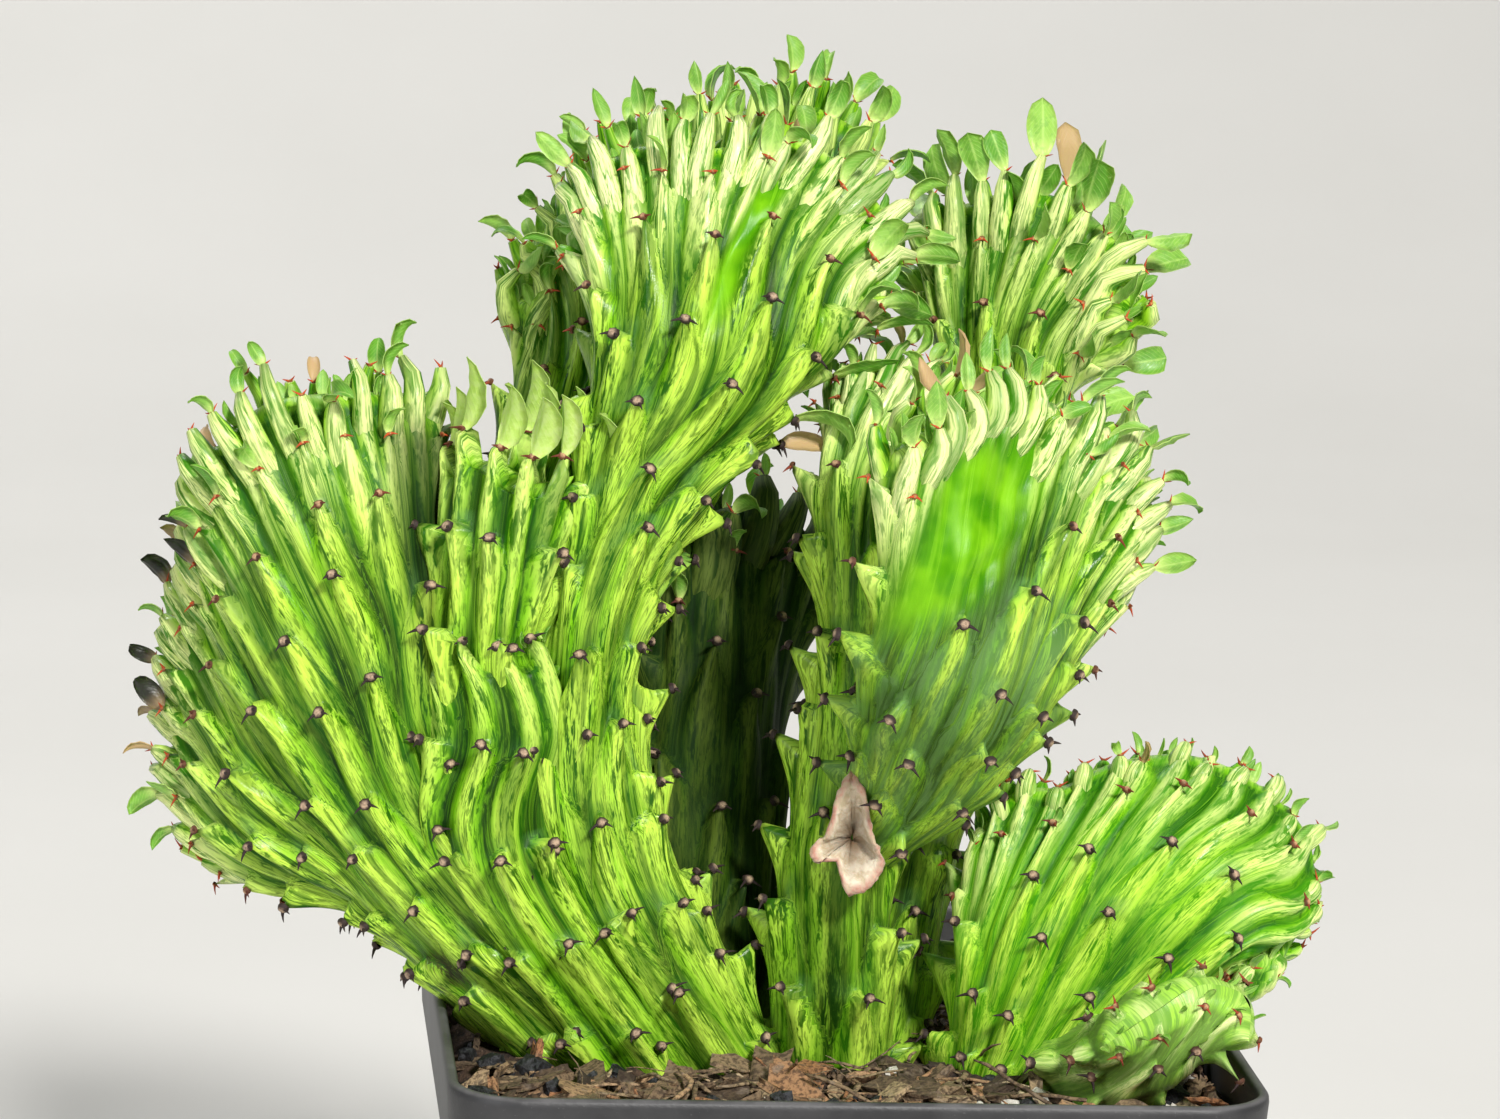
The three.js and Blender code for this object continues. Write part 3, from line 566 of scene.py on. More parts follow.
def grow(crest, rng, leaves, areoles, skin_build):
    """One crest's skin with its fingers; its leaves and areoles go to their own pieces."""
    spec, age = crest.spec, crest.age
    places = crest.places(rng)
    height, lean, patch, own, keel = raise_tubercles(crest, places, rng)
    share = crest.share[None]
    bare = crest.bareness(share, age)
    height = height * (1 - 0.85 * bare)
    way = unit(crest.normal + lean[..., None] * crest.growth)
    swells, folds = roll_noise(crest, rng)
    low_skin = 1 - smooth(0.4, 2.6, height)
    swell = (swells + folds * (1 - bare) * (0.35 + 0.65 * low_skin)) * smooth(0, 6, age)
    angle = 2 * pi * share
    ripple = sin(age / 1.9 + 2.2 * sin(3 * angle + 0.15 * age))
    swell += bare * (0.35 * ripple + 0.4 * sin(11 * angle))
    fade = smooth(0.2, 2.5, age) * 0.85 + 0.15
    points = crest.body + way * (height * fade)[..., None] + crest.normal * swell[..., None]
    notch = spec.scallop * (1 - keel) * (1 - smooth(0, 7, age))
    points -= crest.growth * notch[..., None]
    # at the growing edge the front and the rear share one line
    moved = points - crest.body
    opposite = moved[:, -arange(crest.columns) % crest.columns]
    points += (opposite - moved) * (0.5 * (1 - smooth(0, 1.6, age)))[..., None]
    # raised skin is painted lighter and sunk skin darker: partly its own tones, partly painted highlight and
    # painted shade
    ridge = height / 2.2 + 0.55 * (folds - 0.35) * low_skin + 0.5 * (1 - smooth(0.5, 3.5, age))
    i = arange(1, crest.columns // 2 - 1)
    mirrored = crest.columns - i
    faces = [grid_faces(crest.rows, crest.columns, True), stack([i, mirrored, mirrored - 1, i + 1], -1)]
    skin_build.add(points, faces, flow=crest.flow(angle, age), form=[clip(ridge, 0, 1), patch, own],
                   skin=[bare, smooth(*spec.dusty, age), spec.cream],
                   line=[keel, crest.painted_shade(share, age), spec.bright])

    for tip in places:
        if tip.first:
            at, facing, outward, side = finger(crest, tip, rng, skin_build)
            way_up = facing
        else:
            _, outward, g, _ = crest.at(tip.share, tip.age)
            column = int(round(tip.share * crest.columns)) % crest.columns
            row = int(np.argmin(abs(age[:, column] - tip.age - 0.15)))
            near = [(row + dr, (column + dc) % crest.columns) for dr in (-1, 0, 1) for dc in (-1, 0, 1)]
            summit = max((rc for rc in near if 0 <= rc[0] < crest.rows), key=lambda rc: height[rc])
            facing = unit(outward + 0.35 * g)
            at = points[summit] - facing * 0.1
            way_up = unit(g + 0.35 * outward)
            side = unit(cross(outward, g))
        if at[2] < SOIL_TOP + 1.5:
            continue
        areole(areoles, at + facing * 0.05, unit(facing + 0.3 * outward), side, tip.old, rng)
        on_edge = spec.edge_leaves and 0.42 < tip.share < 0.58 and 4 < tip.age < 28
        chance = 1.0 if on_edge else 0.82 if tip.first else 0.55 * (1 - smooth(5, 20, tip.age))
        if spec.pale:
            chance = 1.0 * (tip.age < 9)
        chance *= spec.few * smooth(0, spec.bald + 1e-6, min(tip.share, 1 - tip.share))
        if spec.leaf == 0 or rng.random() > chance:
            continue
        length = spec.leaf * rng.uniform(3.8, 6.4) * (1.5 if on_edge else 1)
        width = length * (rng.uniform(0.36, 0.54) + 0.1 * spec.spoon)
        along = unit(way_up + outward * rng.uniform(0.0, 0.6) + side * rng.uniform(-0.35, 0.35))
        curl = rng.choice([-0.5, 0.6, 1.5, 2.2], p=[0.15, 0.3, 0.35, 0.2]) * (1 - 0.6 * spec.spoon)
        dry = 0.5 if rng.random() < 0.035 else 0.0
        if spec.burnt and at[0] < -78 and 118 < at[2] < 148:
            dry = rng.choice([0.0, 0.72, 1.0], p=[0.35, 0.3, 0.35])
        turn, sickle, fold = 0.7, rng.normal(0, 0.12), rng.uniform(0.35, 1.0) * (1 - 0.5 * spec.spoon)
        if spec.pale:
            length = spec.leaf * rng.uniform(4.2, 6.2)
            width, curl, fold = length * rng.uniform(0.38, 0.48), rng.uniform(0.5, 1.2), rng.uniform(0.5, 0.8)
            along, outward = unit(array([rng.uniform(0, 0.3), -0.3, 1.0])), array([-1.0, -0.45, 0.1])
            turn, sickle = 0.3, 0.0
        leaf(leaves, rng, at + along * 0.1, along, outward, length, width, curl, fold,
             spec.pale * rng.uniform(0.75, 1), rng.uniform(0.7, 1.0) - 0.4 * spec.spoon, turn, sickle, dry)
    # small leaves and buds that crowd the growing edge between the two rows of fingers
    count = 0 if spec.pale else int(crest.metric[-1].mean() / 2 / BUD_SPACING)
    for k in range(count):
        share = (k + rng.uniform(0.1, 0.9)) / count / 2 + rng.integers(2) / 2
        p, _, g, _ = crest.at(share, rng.uniform(0, 1.0))
        outward = unit(cross(g, [0.0, 0.0, 1.0]) * rng.choice([-1, 1]) + crest.at(share, 3)[1])
        along = unit(g + rng.normal(0, 0.22, 3) + 0.2 * outward)
        length = rng.uniform(2.0, 4.0) * max(spec.leaf, 0.5)
        leaf(leaves, rng, p - g * 1.3, along, outward, length + 0.8, length * rng.uniform(0.42, 0.62),
             rng.uniform(0.1, 0.9), rng.uniform(0.3, 0.6))
    return points


# Materials

def srgb(*values):
    """A colour given in 0 to 255 display values, as linear light."""
    c = array(values) / 255
    linear = np.where(c <= 0.04045, c / 12.92, ((c + 0.055) / 1.055) ** 2.4)
    return (*(float(x) for x in linear), 1.0)


class Paint:
    """One material's nodes. A colour is three display values of 0 to 255, or another node's output, and coat
    lays one over what the surface has so far."""

    def __init__(self, name):
        self.material = bpy.data.materials.new(name)
        self.material.use_nodes = True
        self.tree = self.material.node_tree
        self.tree.nodes.clear()
        self.place = self.node("TexCoord").outputs["Object"]

    def node(self, kind, inputs=None, **settings):
        made = self.tree.nodes.new("ShaderNode" + kind)
        for key, value in settings.items():
            setattr(made, key, value)
        for key, value in (inputs or {}).items():
            if isinstance(value, bpy.types.NodeSocket):
                self.tree.links.new(value, made.inputs[key])
            else:
                made.inputs[key].default_value = value
        return made

    def split(self, vector):
        return self.node("SeparateXYZ", {0: vector}).outputs[:3]

    def attribute(self, name):
        return self.split(self.node("Attribute", attribute_name=name).outputs["Vector"])

    def maths(self, operation, a, b=0.0, clamp=False):
        return self.node("Math", {0: a, 1: b}, operation=operation, use_clamp=clamp).outputs[0]

    def times(self, a, b):
        return self.maths("MULTIPLY", a, b)

    def plus(self, a, b):
        return self.maths("ADD", a, b)

    def blend(self, factor, a, b):
        a, b = (srgb(*c) if isinstance(c, tuple) else c for c in (a, b))
        return self.node("Mix", {0: factor, 6: a, 7: b}, data_type="RGBA").outputs[2]

    def coat(self, factor, colour):
        self.base = self.blend(factor, self.base, colour)

    def ramp(self, value, low, high, to_low=0.0, to_high=1.0):
        inputs = {"Value": value, "From Min": low, "From Max": high, "To Min": to_low, "To Max": to_high}
        return self.node("MapRange", inputs, interpolation_type="SMOOTHSTEP").outputs[0]

    def noise(self, scale, detail=2.0, roughness=0.5, distortion=0.0, vector=None):
        inputs = {"Vector": vector or self.place, "Scale": scale, "Detail": detail, "Roughness": roughness,
                  "Distortion": distortion}
        return self.node("TexNoise", inputs).outputs["Fac"]

    def surface(self, roughness, height=None, bump=0.3, distance=0.0003, soft=()):
        """Soft: how much light enters, how far, its reach per colour, and how much the surface shines."""
        names = "Subsurface Weight", "Subsurface Scale", "Subsurface Radius", "Specular IOR Level"
        inputs = {"Base Color": self.base, "Roughness": roughness, **dict(zip(names, soft))}
        if height is not None:
            made = self.node("Bump", {"Height": height, "Strength": bump, "Distance": distance})
            inputs["Normal"] = made.outputs[0]
        shader = self.node("BsdfPrincipled", inputs)
        self.node("OutputMaterial", {0: shader.outputs[0]})
        return self.material


def skin_material():
    p = Paint("crest_skin")
    times, plus, blend, coat, ramp = p.times, p.plus, p.blend, p.coat, p.ramp
    x, y, age = p.attribute("flow")
    ridge, patch, own = p.attribute("form")
    bare, dusty, cream = p.attribute("skin")
    # the rib keels, painted shade and painted light
    keel, painted_shade, bright = p.attribute("line")

    def streaks(squeeze, *noise):
        """Noise drawn out along the growth, at its own place on each tubercle."""
        along = plus(times(age, squeeze), times(own, 7.0))
        return p.noise(*noise, p.node("CombineXYZ", {0: x, 1: y, 2: along}).outputs[0])

    long = streaks(0.035, 0.55, 2.0, 0.5, 0.3)
    wide = streaks(0.10, 0.75, 2.0, 0.5, 0.4)
    fine = streaks(0.12, 2.3, 3.0, 0.65, 0.7)
    hair = streaks(0.10, 5.0, 2.0, 0.6, 0.5)
    blotch, grain = p.noise(160.0), p.noise(3800.0)

    young = times(ramp(age, 24.0, 3.0), cream)
    light = blend(young, (204, 242, 88), (250, 255, 184))
    # painted light: crests that are painted brighter get lighter greens
    mid = blend(bright, blend(young, (122, 192, 14), (178, 230, 48)), (150, 218, 22))
    dark = blend(bright, blend(young, (30, 88, 4), (60, 136, 8)), (62, 140, 10))
    deep = blend(bright, blend(young, (11, 44, 3), (38, 104, 6)), (30, 94, 6))

    # tops of tubercles and rib keels turn light: partly the paler skin, partly painted highlight
    on_ridge = p.maths("MAXIMUM", ramp(ridge, 0.25, 1.0, 0.0, 0.8), keel)
    lightness = plus(plus(times(on_ridge, 0.55), times(wide, 0.6)), times(long, 0.4))
    p.base = blend(ramp(lightness, 0.42, 1.0), mid, light)
    # grooves turn dark green: partly the skin's own dark green, partly painted shade
    groove = times(ramp(ridge, 0.55, 0.08), ramp(age, 60.0, 8.0, 0.6, 0.85))
    coat(times(groove, ramp(wide, 0.35, 0.6, 1.0, 0.55)), dark)
    coat(times(ramp(fine, 0.46, 0.58), ramp(wide, 0.62, 0.38, 0.15, 0.95)), dark)
    coat(times(ramp(long, 0.52, 0.66), 0.65), dark)
    coat(times(ramp(hair, 0.48, 0.64), 0.6), dark)
    # the lowest skin between tubercles turns deep green: partly the skin's own dark, partly painted shade
    coat(times(ramp(ridge, 0.22, 0.0), ramp(fine, 0.35, 0.55, 0.35, 0.9)), deep)
    dust = blend(ramp(blotch, 0.4, 0.6), (44, 100, 26), (96, 148, 78))
    coat(times(patch, ramp(fine, 0.35, 0.6, 0.85, 0.4)), dust)
    dusty = times(dusty, ramp(wide, 0.35, 0.62, 0.6, 0.1))
    coat(dusty, (122, 164, 92))
    bare_green = blend(ramp(blotch, 0.35, 0.65), (70, 146, 2), (126, 196, 14))
    coat(times(bare, 0.88), blend(ramp(wide, 0.42, 0.66, 0.0, 0.4), bare_green, (150, 220, 40)))
    # painted light: paler still where a crest's painted light is over 1
    coat(p.maths("SUBTRACT", bright, 1.0, True), (212, 242, 132))
    # painted shade: near black-green over the dark hollow crest and in a narrow gap beside another crest
    coat(painted_shade, (14, 34, 8))
    # two corky scars
    for centre, size, colour in (((-0.047, -0.009, 0.095), 0.0055, (46, 34, 26)),
                                 ((0.0465, -0.022, 0.098), 0.003, (150, 74, 48))):
        away = p.node("VectorMath", {0: p.place, 1: centre}, operation="DISTANCE").outputs["Value"]
        away = plus(away, times(p.maths("SUBTRACT", fine, 0.5), size * 1.6))
        coat(ramp(away, size, size * 0.6, 0.0, 0.9), colour)

    bumps = times(plus(times(fine, 0.5), times(grain, 0.14)), ramp(bare, 0.0, 1.0, 1.0, 0.3))
    rough = p.maths("SUBTRACT", ramp(blotch, 0.2, 0.8, 0.18, 0.34), times(bare, 0.1))
    for part, share in ((groove, 0.2), (dusty, 0.2), (painted_shade, 0.45)):
        rough = plus(rough, times(part, share))
    return p.surface(rough, bumps, 0.35, 0.0005, (0.1, 0.0012, (0.6, 1.0, 0.2), 0.16))


def leaf_material():
    p = Paint("leaf_blade")
    times, blend, coat, ramp = p.times, p.blend, p.coat, p.ramp
    w, l, own = p.attribute("blade")
    tone, dry, _ = p.attribute("tone")
    beside = p.maths("ABSOLUTE", w)
    mottled = p.noise(900.0, 3.0, 0.6)
    p.base = blend(own, (92, 156, 40), (152, 200, 84))
    coat(ramp(l, 0.45, 0.0), (204, 232, 128))
    coat(tone, blend(ramp(mottled, 0.35, 0.65), (186, 222, 96), (212, 238, 138)))
    veins = times(p.plus(times(l, 9.0), times(beside, 3.2)), 6.2832)
    veins = ramp(p.maths("SINE", veins), 0.6, 1.0)
    lighter = blend(0.5, p.base, (200, 232, 130))
    coat(p.maths("MAXIMUM", ramp(beside, 0.16, 0.0), times(veins, 0.45)), lighter)
    darker = blend(ramp(mottled, 0.48, 0.62), p.base, blend(0.4, p.base, (60, 128, 30)))
    coat(times(ramp(tone, 0.0, 1.0, 0.8, 0.2), 0.8), darker)
    coat(times(ramp(beside, 0.86, 1.0), 0.5), (190, 226, 120))
    coat(ramp(dry, 0.1, 0.4), (198, 166, 120))
    coat(times(ramp(dry, 0.55, 0.9), ramp(l, 0.0, 0.5, 0.5, 1.0)), (30, 32, 20))
    rough = ramp(mottled, 0.3, 0.7, 0.38, 0.52)
    return p.surface(rough, p.plus(veins, mottled), 0.25, 0.0002, (0.15, 0.001, (0.6, 1.0, 0.2)))


def areole_material():
    p = Paint("areole_and_spines")
    blend, coat, ramp = p.blend, p.coat, p.ramp
    core, old, own = p.attribute("knob")
    crust = p.noise(2600.0, 3.0, 0.6)
    p.base = blend(old, (150, 84, 40), (48, 34, 32))
    coat(ramp(core, 0.45, 0.95), blend(old, (214, 150, 80), (196, 168, 140)))
    coat(ramp(crust, 0.4, 0.7, 0.0, 0.6), (60, 40, 34))
    young = blend(own, (205, 78, 30), (160, 60, 30))
    coat(ramp(core, -0.2, -0.6), blend(ramp(old, 0.25, 0.75), young, (46, 30, 30)))
    return p.surface(0.7, crust, 0.7)


def soil_material():
    p = Paint("soil_bed")
    coarse, fine = p.noise(420.0, 5.0, 0.65), p.noise(2400.0, 3.0, 0.6)
    p.base = p.blend(p.ramp(coarse, 0.35, 0.65), (34, 26, 22), (92, 70, 54))
    p.coat(p.ramp(fine, 0.6, 0.75, 0.0, 0.7), (150, 124, 100))
    return p.surface(0.95, p.plus(coarse, p.times(fine, 0.4)), 0.9, 0.0012)


def chip_material():
    p = Paint("bark_and_bits")
    blend, coat, ramp = p.blend, p.coat, p.ramp
    kind, own, _ = p.attribute("bit")
    grain, patches = p.noise(1500.0, 4.0, 0.65), p.noise(500.0, 3.0, 0.6)
    barks = p.node("ValToRGB", {0: own})
    stops = [(0.0, (54, 44, 34)), (0.2, (90, 74, 56)), (0.42, (120, 100, 76)), (0.6, (142, 118, 90)),
             (0.78, (168, 146, 112)), (0.9, (176, 120, 78)), (1.0, (206, 188, 150))]
    elements = barks.color_ramp.elements
    while len(elements) < len(stops):
        elements.new(0.5)
    for element, (position, colour) in zip(elements, stops):
        element.position = position
        element.color = srgb(*colour)
    p.base = blend(ramp(grain, 0.42, 0.62, 0.0, 0.75), barks.outputs[0], (44, 30, 24))
    coat(ramp(patches, 0.55, 0.72, 0.0, 0.5), (150, 134, 118))
    coat(ramp(kind, 0.4, 0.6), blend(ramp(grain, 0.4, 0.7), (20, 20, 22), (62, 64, 68)))
    coat(ramp(kind, 1.4, 1.6), blend(ramp(grain, 0.3, 0.7), (196, 190, 178), (232, 228, 218)))
    return p.surface(ramp(kind, 0.4, 0.6, 0.85, 0.55), grain, 0.8, 0.0006)


def pot_material():
    p = Paint("black_plastic")
    times, ramp = p.times, p.ramp
    cloud, specks = p.noise(90.0, 4.0, 0.6), p.noise(1800.0, 2.0, 0.6)
    z, up = p.split(p.place)[2], p.split(p.node("NewGeometry").outputs["Normal"])[2]
    dust = times(ramp(cloud, 0.3, 0.7, 0.25, 1.0), ramp(up, 0.3, 0.9, 0.16, 0.75))
    dust = times(dust, ramp(z, 0.04, 0.088, 0.35, 1.0))
    dust = p.maths("ADD", dust, times(ramp(specks, 0.66, 0.74), 0.25), True)
    p.base = p.blend(dust, (26, 27, 30), (124, 122, 124))
    return p.surface(p.plus(times(dust, 0.4), 0.42), specks, 0.12)


def husk_material():
    p = Paint("dry_husk_skin")
    hollow, rim, _ = p.attribute("husk")
    veins = p.noise(700.0, 4.0, 0.65, 0.4)
    p.base = p.blend(p.ramp(veins, 0.35, 0.65), (196, 178, 148), (232, 220, 198))
    # the hollow turns dark brown: partly its dry inside, partly painted shade
    p.coat(hollow, (92, 70, 44))
    p.coat(p.times(rim, p.ramp(veins, 0.3, 0.6)), (190, 140, 122))
    return p.surface(0.75, veins, 0.6, 0.0006, (0.1, 0.0006))


def paper_material():
    p = Paint("pale_paper")
    p.base = p.blend(p.noise(6.0, 3.0), (222, 221, 217), (232, 231, 228))
    return p.surface(0.8)


# The plants
skin, blade, wood = skin_material(), leaf_material(), areole_material()
plants = {n: (Build(), Build()) for n in ("crest_main", "crest_right", "crest_low")}
near_soil = []
for number, (name, plant, own, sections) in enumerate(CRESTS):
    crest = Crest(SimpleNamespace(**{**PLAIN, **own}), sections)
    build = Build()
    points = grow(crest, np.random.default_rng(101 + number), *plants[plant], build)
    near_soil.append(points[points[..., 2] < SOIL_TOP + 5])
    build.finish(name, skin, plant, "plant")
for plant, (leaves, areoles) in plants.items():
    short = plant.split("_")[1]
    leaves.finish(short + "_leaves", blade, plant, "plant")
    areoles.finish(short + "_areoles", wood, plant, "plant")

# The pot
POT_HEIGHT, RIM_HALF, RIM_RADIUS, BAND_HEIGHT, BAND_STEP = 88, 50, 9, 13, 2.2
FOOT_HALF, WALL, FLOOR, DRAIN_RADIUS, DRAIN_OFFSET = 36, 1.5, 2, 4, 19
BAND_FOOT = POT_HEIGHT - BAND_HEIGHT
BODY_TOP = RIM_HALF - BAND_STEP
INNER_RADIUS = RIM_RADIUS - WALL


def rounded_square(half, radius, z, side_points=13, arc_points=10):
    """Points of a rounded square, evenly along its sides and arcs."""
    straight = half - radius
    side = half + 1j * linspace(-straight, straight, side_points)[:-1]
    arc = straight * (1 + 1j) + radius * exp(1j * linspace(0, pi / 2, arc_points)[:-1])
    xy = np.outer([1, 1j, -1, -1j], [*side, *arc]).ravel()
    return stack([xy.real, xy.imag, np.full(len(xy), z)], -1)


def inner_half(z):
    return FOOT_HALF + (BODY_TOP - FOOT_HALF) * z / BAND_FOOT - WALL


def pot_piece():
    """Its outside from the underside's middle up, over the rim and down the inside to the floor's middle."""
    body, inside = BODY_TOP - RIM_HALF, inner_half(BAND_FOOT) - RIM_HALF
    # how far out from the foot or the rim, how much wider the corners, and the height
    foot = [(-8, -7, 0), (-1.2, -1.2, 0), (-0.4, -0.4, 0.25), (0, 0, 0.9)]
    rim = [(body - 0.1, 0, BAND_FOOT - 0.1), (body + 0.2, 0, BAND_FOOT), (-1, 0, BAND_FOOT + 0.2),
           (-0.6, 0, BAND_FOOT + 0.6), (-0.1, 0, POT_HEIGHT - 2.6), (0, 0, POT_HEIGHT - 1.2),
           (-0.1, -0.1, POT_HEIGHT - 0.4), (-0.45, -0.4, POT_HEIGHT), (-1.05, -1, POT_HEIGHT),
           (-1.4, -WALL, POT_HEIGHT - 0.4), (-WALL, -WALL, POT_HEIGHT - 1.4),
           (-WALL - 0.4, -WALL, BAND_FOOT + 3), (inside, -WALL, BAND_FOOT)]
    floor = [(inner_half(FLOOR + 1) - FOOT_HALF, -WALL, FLOOR + 1),
             (inner_half(FLOOR) - FOOT_HALF - 0.8, -WALL - 0.8, FLOOR), (-10, -7, FLOOR)]
    middle = [((BODY_TOP - FOOT_HALF) / 2, 0, BAND_FOOT / 2)]
    parts = (FOOT_HALF, foot + middle), (RIM_HALF, rim), (FOOT_HALF, floor)
    loops = [(half + more, RIM_RADIUS + wider, z) for half, part in parts for more, wider, z in part]
    rings = [rounded_square(*loop) for loop in loops]
    n = len(rings[0])
    first, middle = arange(n), n * len(rings)
    caps = [fan_faces(first, middle)[:, ::-1], fan_faces(first + middle - n, middle + 1)]
    build = Build()
    build.add(vstack([*rings, [[0, 0, 0], [0, 0, FLOOR]]]), [grid_faces(len(rings), n, True), *caps])
    pot = build.finish("nursery_pot", pot_material(), "pot", "pot_plastic")
    for x in (-DRAIN_OFFSET, DRAIN_OFFSET):
        for y in (-DRAIN_OFFSET, DRAIN_OFFSET):
            bpy.ops.mesh.primitive_cylinder_add(vertices=40, radius=DRAIN_RADIUS * MM, depth=3 * FLOOR * MM,
                                                location=(x * MM, y * MM, FLOOR / 2 * MM))
            cutter = bpy.context.object
            cut = pot.modifiers.new("drain", "BOOLEAN")
            cut.operation, cut.object, cut.solver = "DIFFERENCE", cutter, "EXACT"
            bpy.context.view_layer.objects.active = pot
            bpy.ops.object.modifier_apply(modifier=cut.name)
            bpy.data.objects.remove(cutter)


# The soil: a block that fills the pot, with a crumbly top, bark chips and fibres

def crumbs(x, y):
    """Height of the soil's crumbly top over its mean, in mm."""
    total = 0
    wave_rng = np.random.default_rng(5)
    for size, strength in ((14, 0.7), (7, 0.5), (3.2, 0.45), (1.7, 0.3)):
        for _ in range(4):
            a, phase = wave_rng.uniform(*PHASE, 2)
            total = total + strength / 2 * sin((x * cos(a) + y * sin(a)) * 6.28 / size + phase)
    return total


def soil_piece():
    clear = 0.4
    top_half = RIM_HALF - WALL - 0.9
    loops = [(8, 2, FLOOR + clear), *((half, INNER_RADIUS, z) for half, z in (
        (inner_half(FLOOR) - clear, FLOOR + clear), (inner_half(BAND_FOOT) - clear, BAND_FOOT),
        (top_half, BAND_FOOT + 3.5), (top_half + 0.1, SOIL_TOP - 2.5)))]
    rings = [rounded_square(*loop, 25, 12) for loop in loops]
    for share in linspace(1, 0.01, 64):
        ring = rounded_square(top_half * share, INNER_RADIUS * share, SOIL_TOP - 1.0, 25, 12)
        ring[:, 2] += crumbs(ring[:, 0], ring[:, 1]) - 0.8 * smooth(0.95, 1, share)
        rings.append(ring)
    n = len(rings[0])
    last = (len(rings) - 1) * n + arange(n)
    build = Build()
    build.add(vstack([*rings, rings[-1].mean(0)[None]]),
              [grid_faces(len(rings), n, True), fan_faces(last, n * len(rings))])
    build.finish("soil_bed", soil_material(), "soil", "soil")


def turned(rng, tilt):
    a, b, c = rng.uniform(0, 2 * pi), rng.normal(0, tilt), rng.normal(0, tilt)
    return array(Matrix.Rotation(a, 3, "Z") @ Matrix.Rotation(b, 3, "X") @ Matrix.Rotation(c, 3, "Y"))


def block_shell():
    """Points and faces of a small block whose edges are split once."""
    index, faces = {}, []
    for axis in range(3):
        for end in (0, 2):
            for i in range(2):
                for j in range(2):
                    corners = []
                    for square in ((i, j), (i + 1, j), (i + 1, j + 1), (i, j + 1)):
                        p = tuple(roll((end, *square), axis))
                        corners.append(index.setdefault(p, len(index)))
                    faces.append(corners if end else corners[::-1])
    return array(list(index)) - 1.0, array(faces)


def chips_piece(rng, stems, material):
    shell, shell_faces = block_shell()
    rounded = shell / maximum(np.linalg.norm(shell, axis=1, keepdims=True), 1) * 0.575 + shell * 0.5
    build = Build()
    reach = RIM_HALF - WALL - 2.2
    placed = 0
    while placed < 1500:
        x, y = rng.uniform(-reach, reach, 2)
        kind = rng.choice([0, 1, 2], p=[0.84, 0.11, 0.05])  # bark, coal, white grit
        size = rng.uniform(0.6, 2.0) if kind else min(rng.lognormal(0.0, 0.5), 3.2)
        z = SOIL_TOP - 1.0 + crumbs(x, y) + 0.25 * size + rng.uniform(-0.4, 0.7)
        if stems.find((x, y, z))[2] < size * 1.1 + 0.3 or max(abs(x), abs(y)) + size * 1.3 > reach + 1.4:
            placed += 0.2
            continue
        if kind:
            stretch = rng.uniform(0.6, 1.0, 3) * size
        else:
            stretch = array([rng.uniform(1.0, 2.1), rng.uniform(0.5, 0.9), rng.uniform(0.14, 0.4)]) * size
        rough = (rounded if kind else shell) * stretch + rng.normal(0, 0.17, shell.shape) * stretch
        points = rough @ turned(rng, min(0.5, 0.6 / size)).T + [x, y, z]
        build.add(points, [shell_faces], bit=[kind, rng.random(), 0])
        placed += 1
    chips = build.finish("soil_bark_chips", material, "soil", "soil")
    chips.data.polygons.foreach_set("use_smooth", zeros(len(chips.data.polygons), bool))


def fibres_piece(rng, stems, material):
    build = Build()
    reach = RIM_HALF - WALL - 4
    steps = 6
    for _ in range(800):
        x, y = rng.uniform(-reach, reach, 2)
        path = [array([x, y, SOIL_TOP + rng.uniform(-0.4, 1.3)])]
        length = rng.uniform(3, 13)
        heading = rng.uniform(0, 2 * pi)
        tilt = rng.uniform(-0.1, 0.5) if rng.random() < 0.3 else rng.uniform(-0.05, 0.15)
        for _ in range(steps):
            heading += rng.normal(0, 0.22)
            tilt += rng.normal(0, 0.1) - 0.04
            step = array([cos(heading), sin(heading), np.tan(clip(tilt, -0.6, 1.0))])
            path.append(path[-1] + unit(step) * length / steps)
        path = array(path)
        path[:, 2] = maximum(path[:, 2], SOIL_TOP - 1.2)
        if abs(path[:, :2]).max() > reach + 2 or min(stems.find(p)[2] for p in path) < 0.6:
            continue
        _, across, normal = frames(path, [0.0, 0.0, 1.0])
        thick = np.full(len(path), rng.uniform(0.07, 0.28))
        thick[-1] *= 0.4
        blades = tube(path, -across, normal, thick * rng.uniform(1, 1.8), thick, 5)
        build.add(*blades, bit=[0, rng.uniform(0.5, 1.0), 0])
    build.finish("soil_fibres", material, "soil", "soil")


# The dry husk
HUSK_PLACE = array([-1, -22.3, 115])
HUSK_OUTLINE = array([
    [-4.6, -2.2], [-2.2, -0.4], [-1.2, 5.6], [0.6, 8.4], [2.4, 5.2], [3.4, 0.6], [5.2, -3.4], [3.6, -6.4],
    [0.4, -7.8], [-0.8, -3.4], [-3.6, -3.6]])
# share of the outline, depth, whether it lies in the hollow or on the rim
HUSK_RINGS = [(0.05, 2.2, 1, 0), (0.35, 1.9, 2 / 3, 0), (0.6, 1.2, 1 / 3, 0), (0.78, 0.35, 0, 0),
              (0.9, -0.05, 0, 1), (1.0, 0.15, 0, 1), (1.02, 0.5, 0, 0), (0.95, 0.95, 0, 0),
              (0.8, 1.5, 0, 0), (0.6, 2.2, 0, 0), (0.3, 2.8, 0, 0), (0.05, 3.0, 0, 0)]


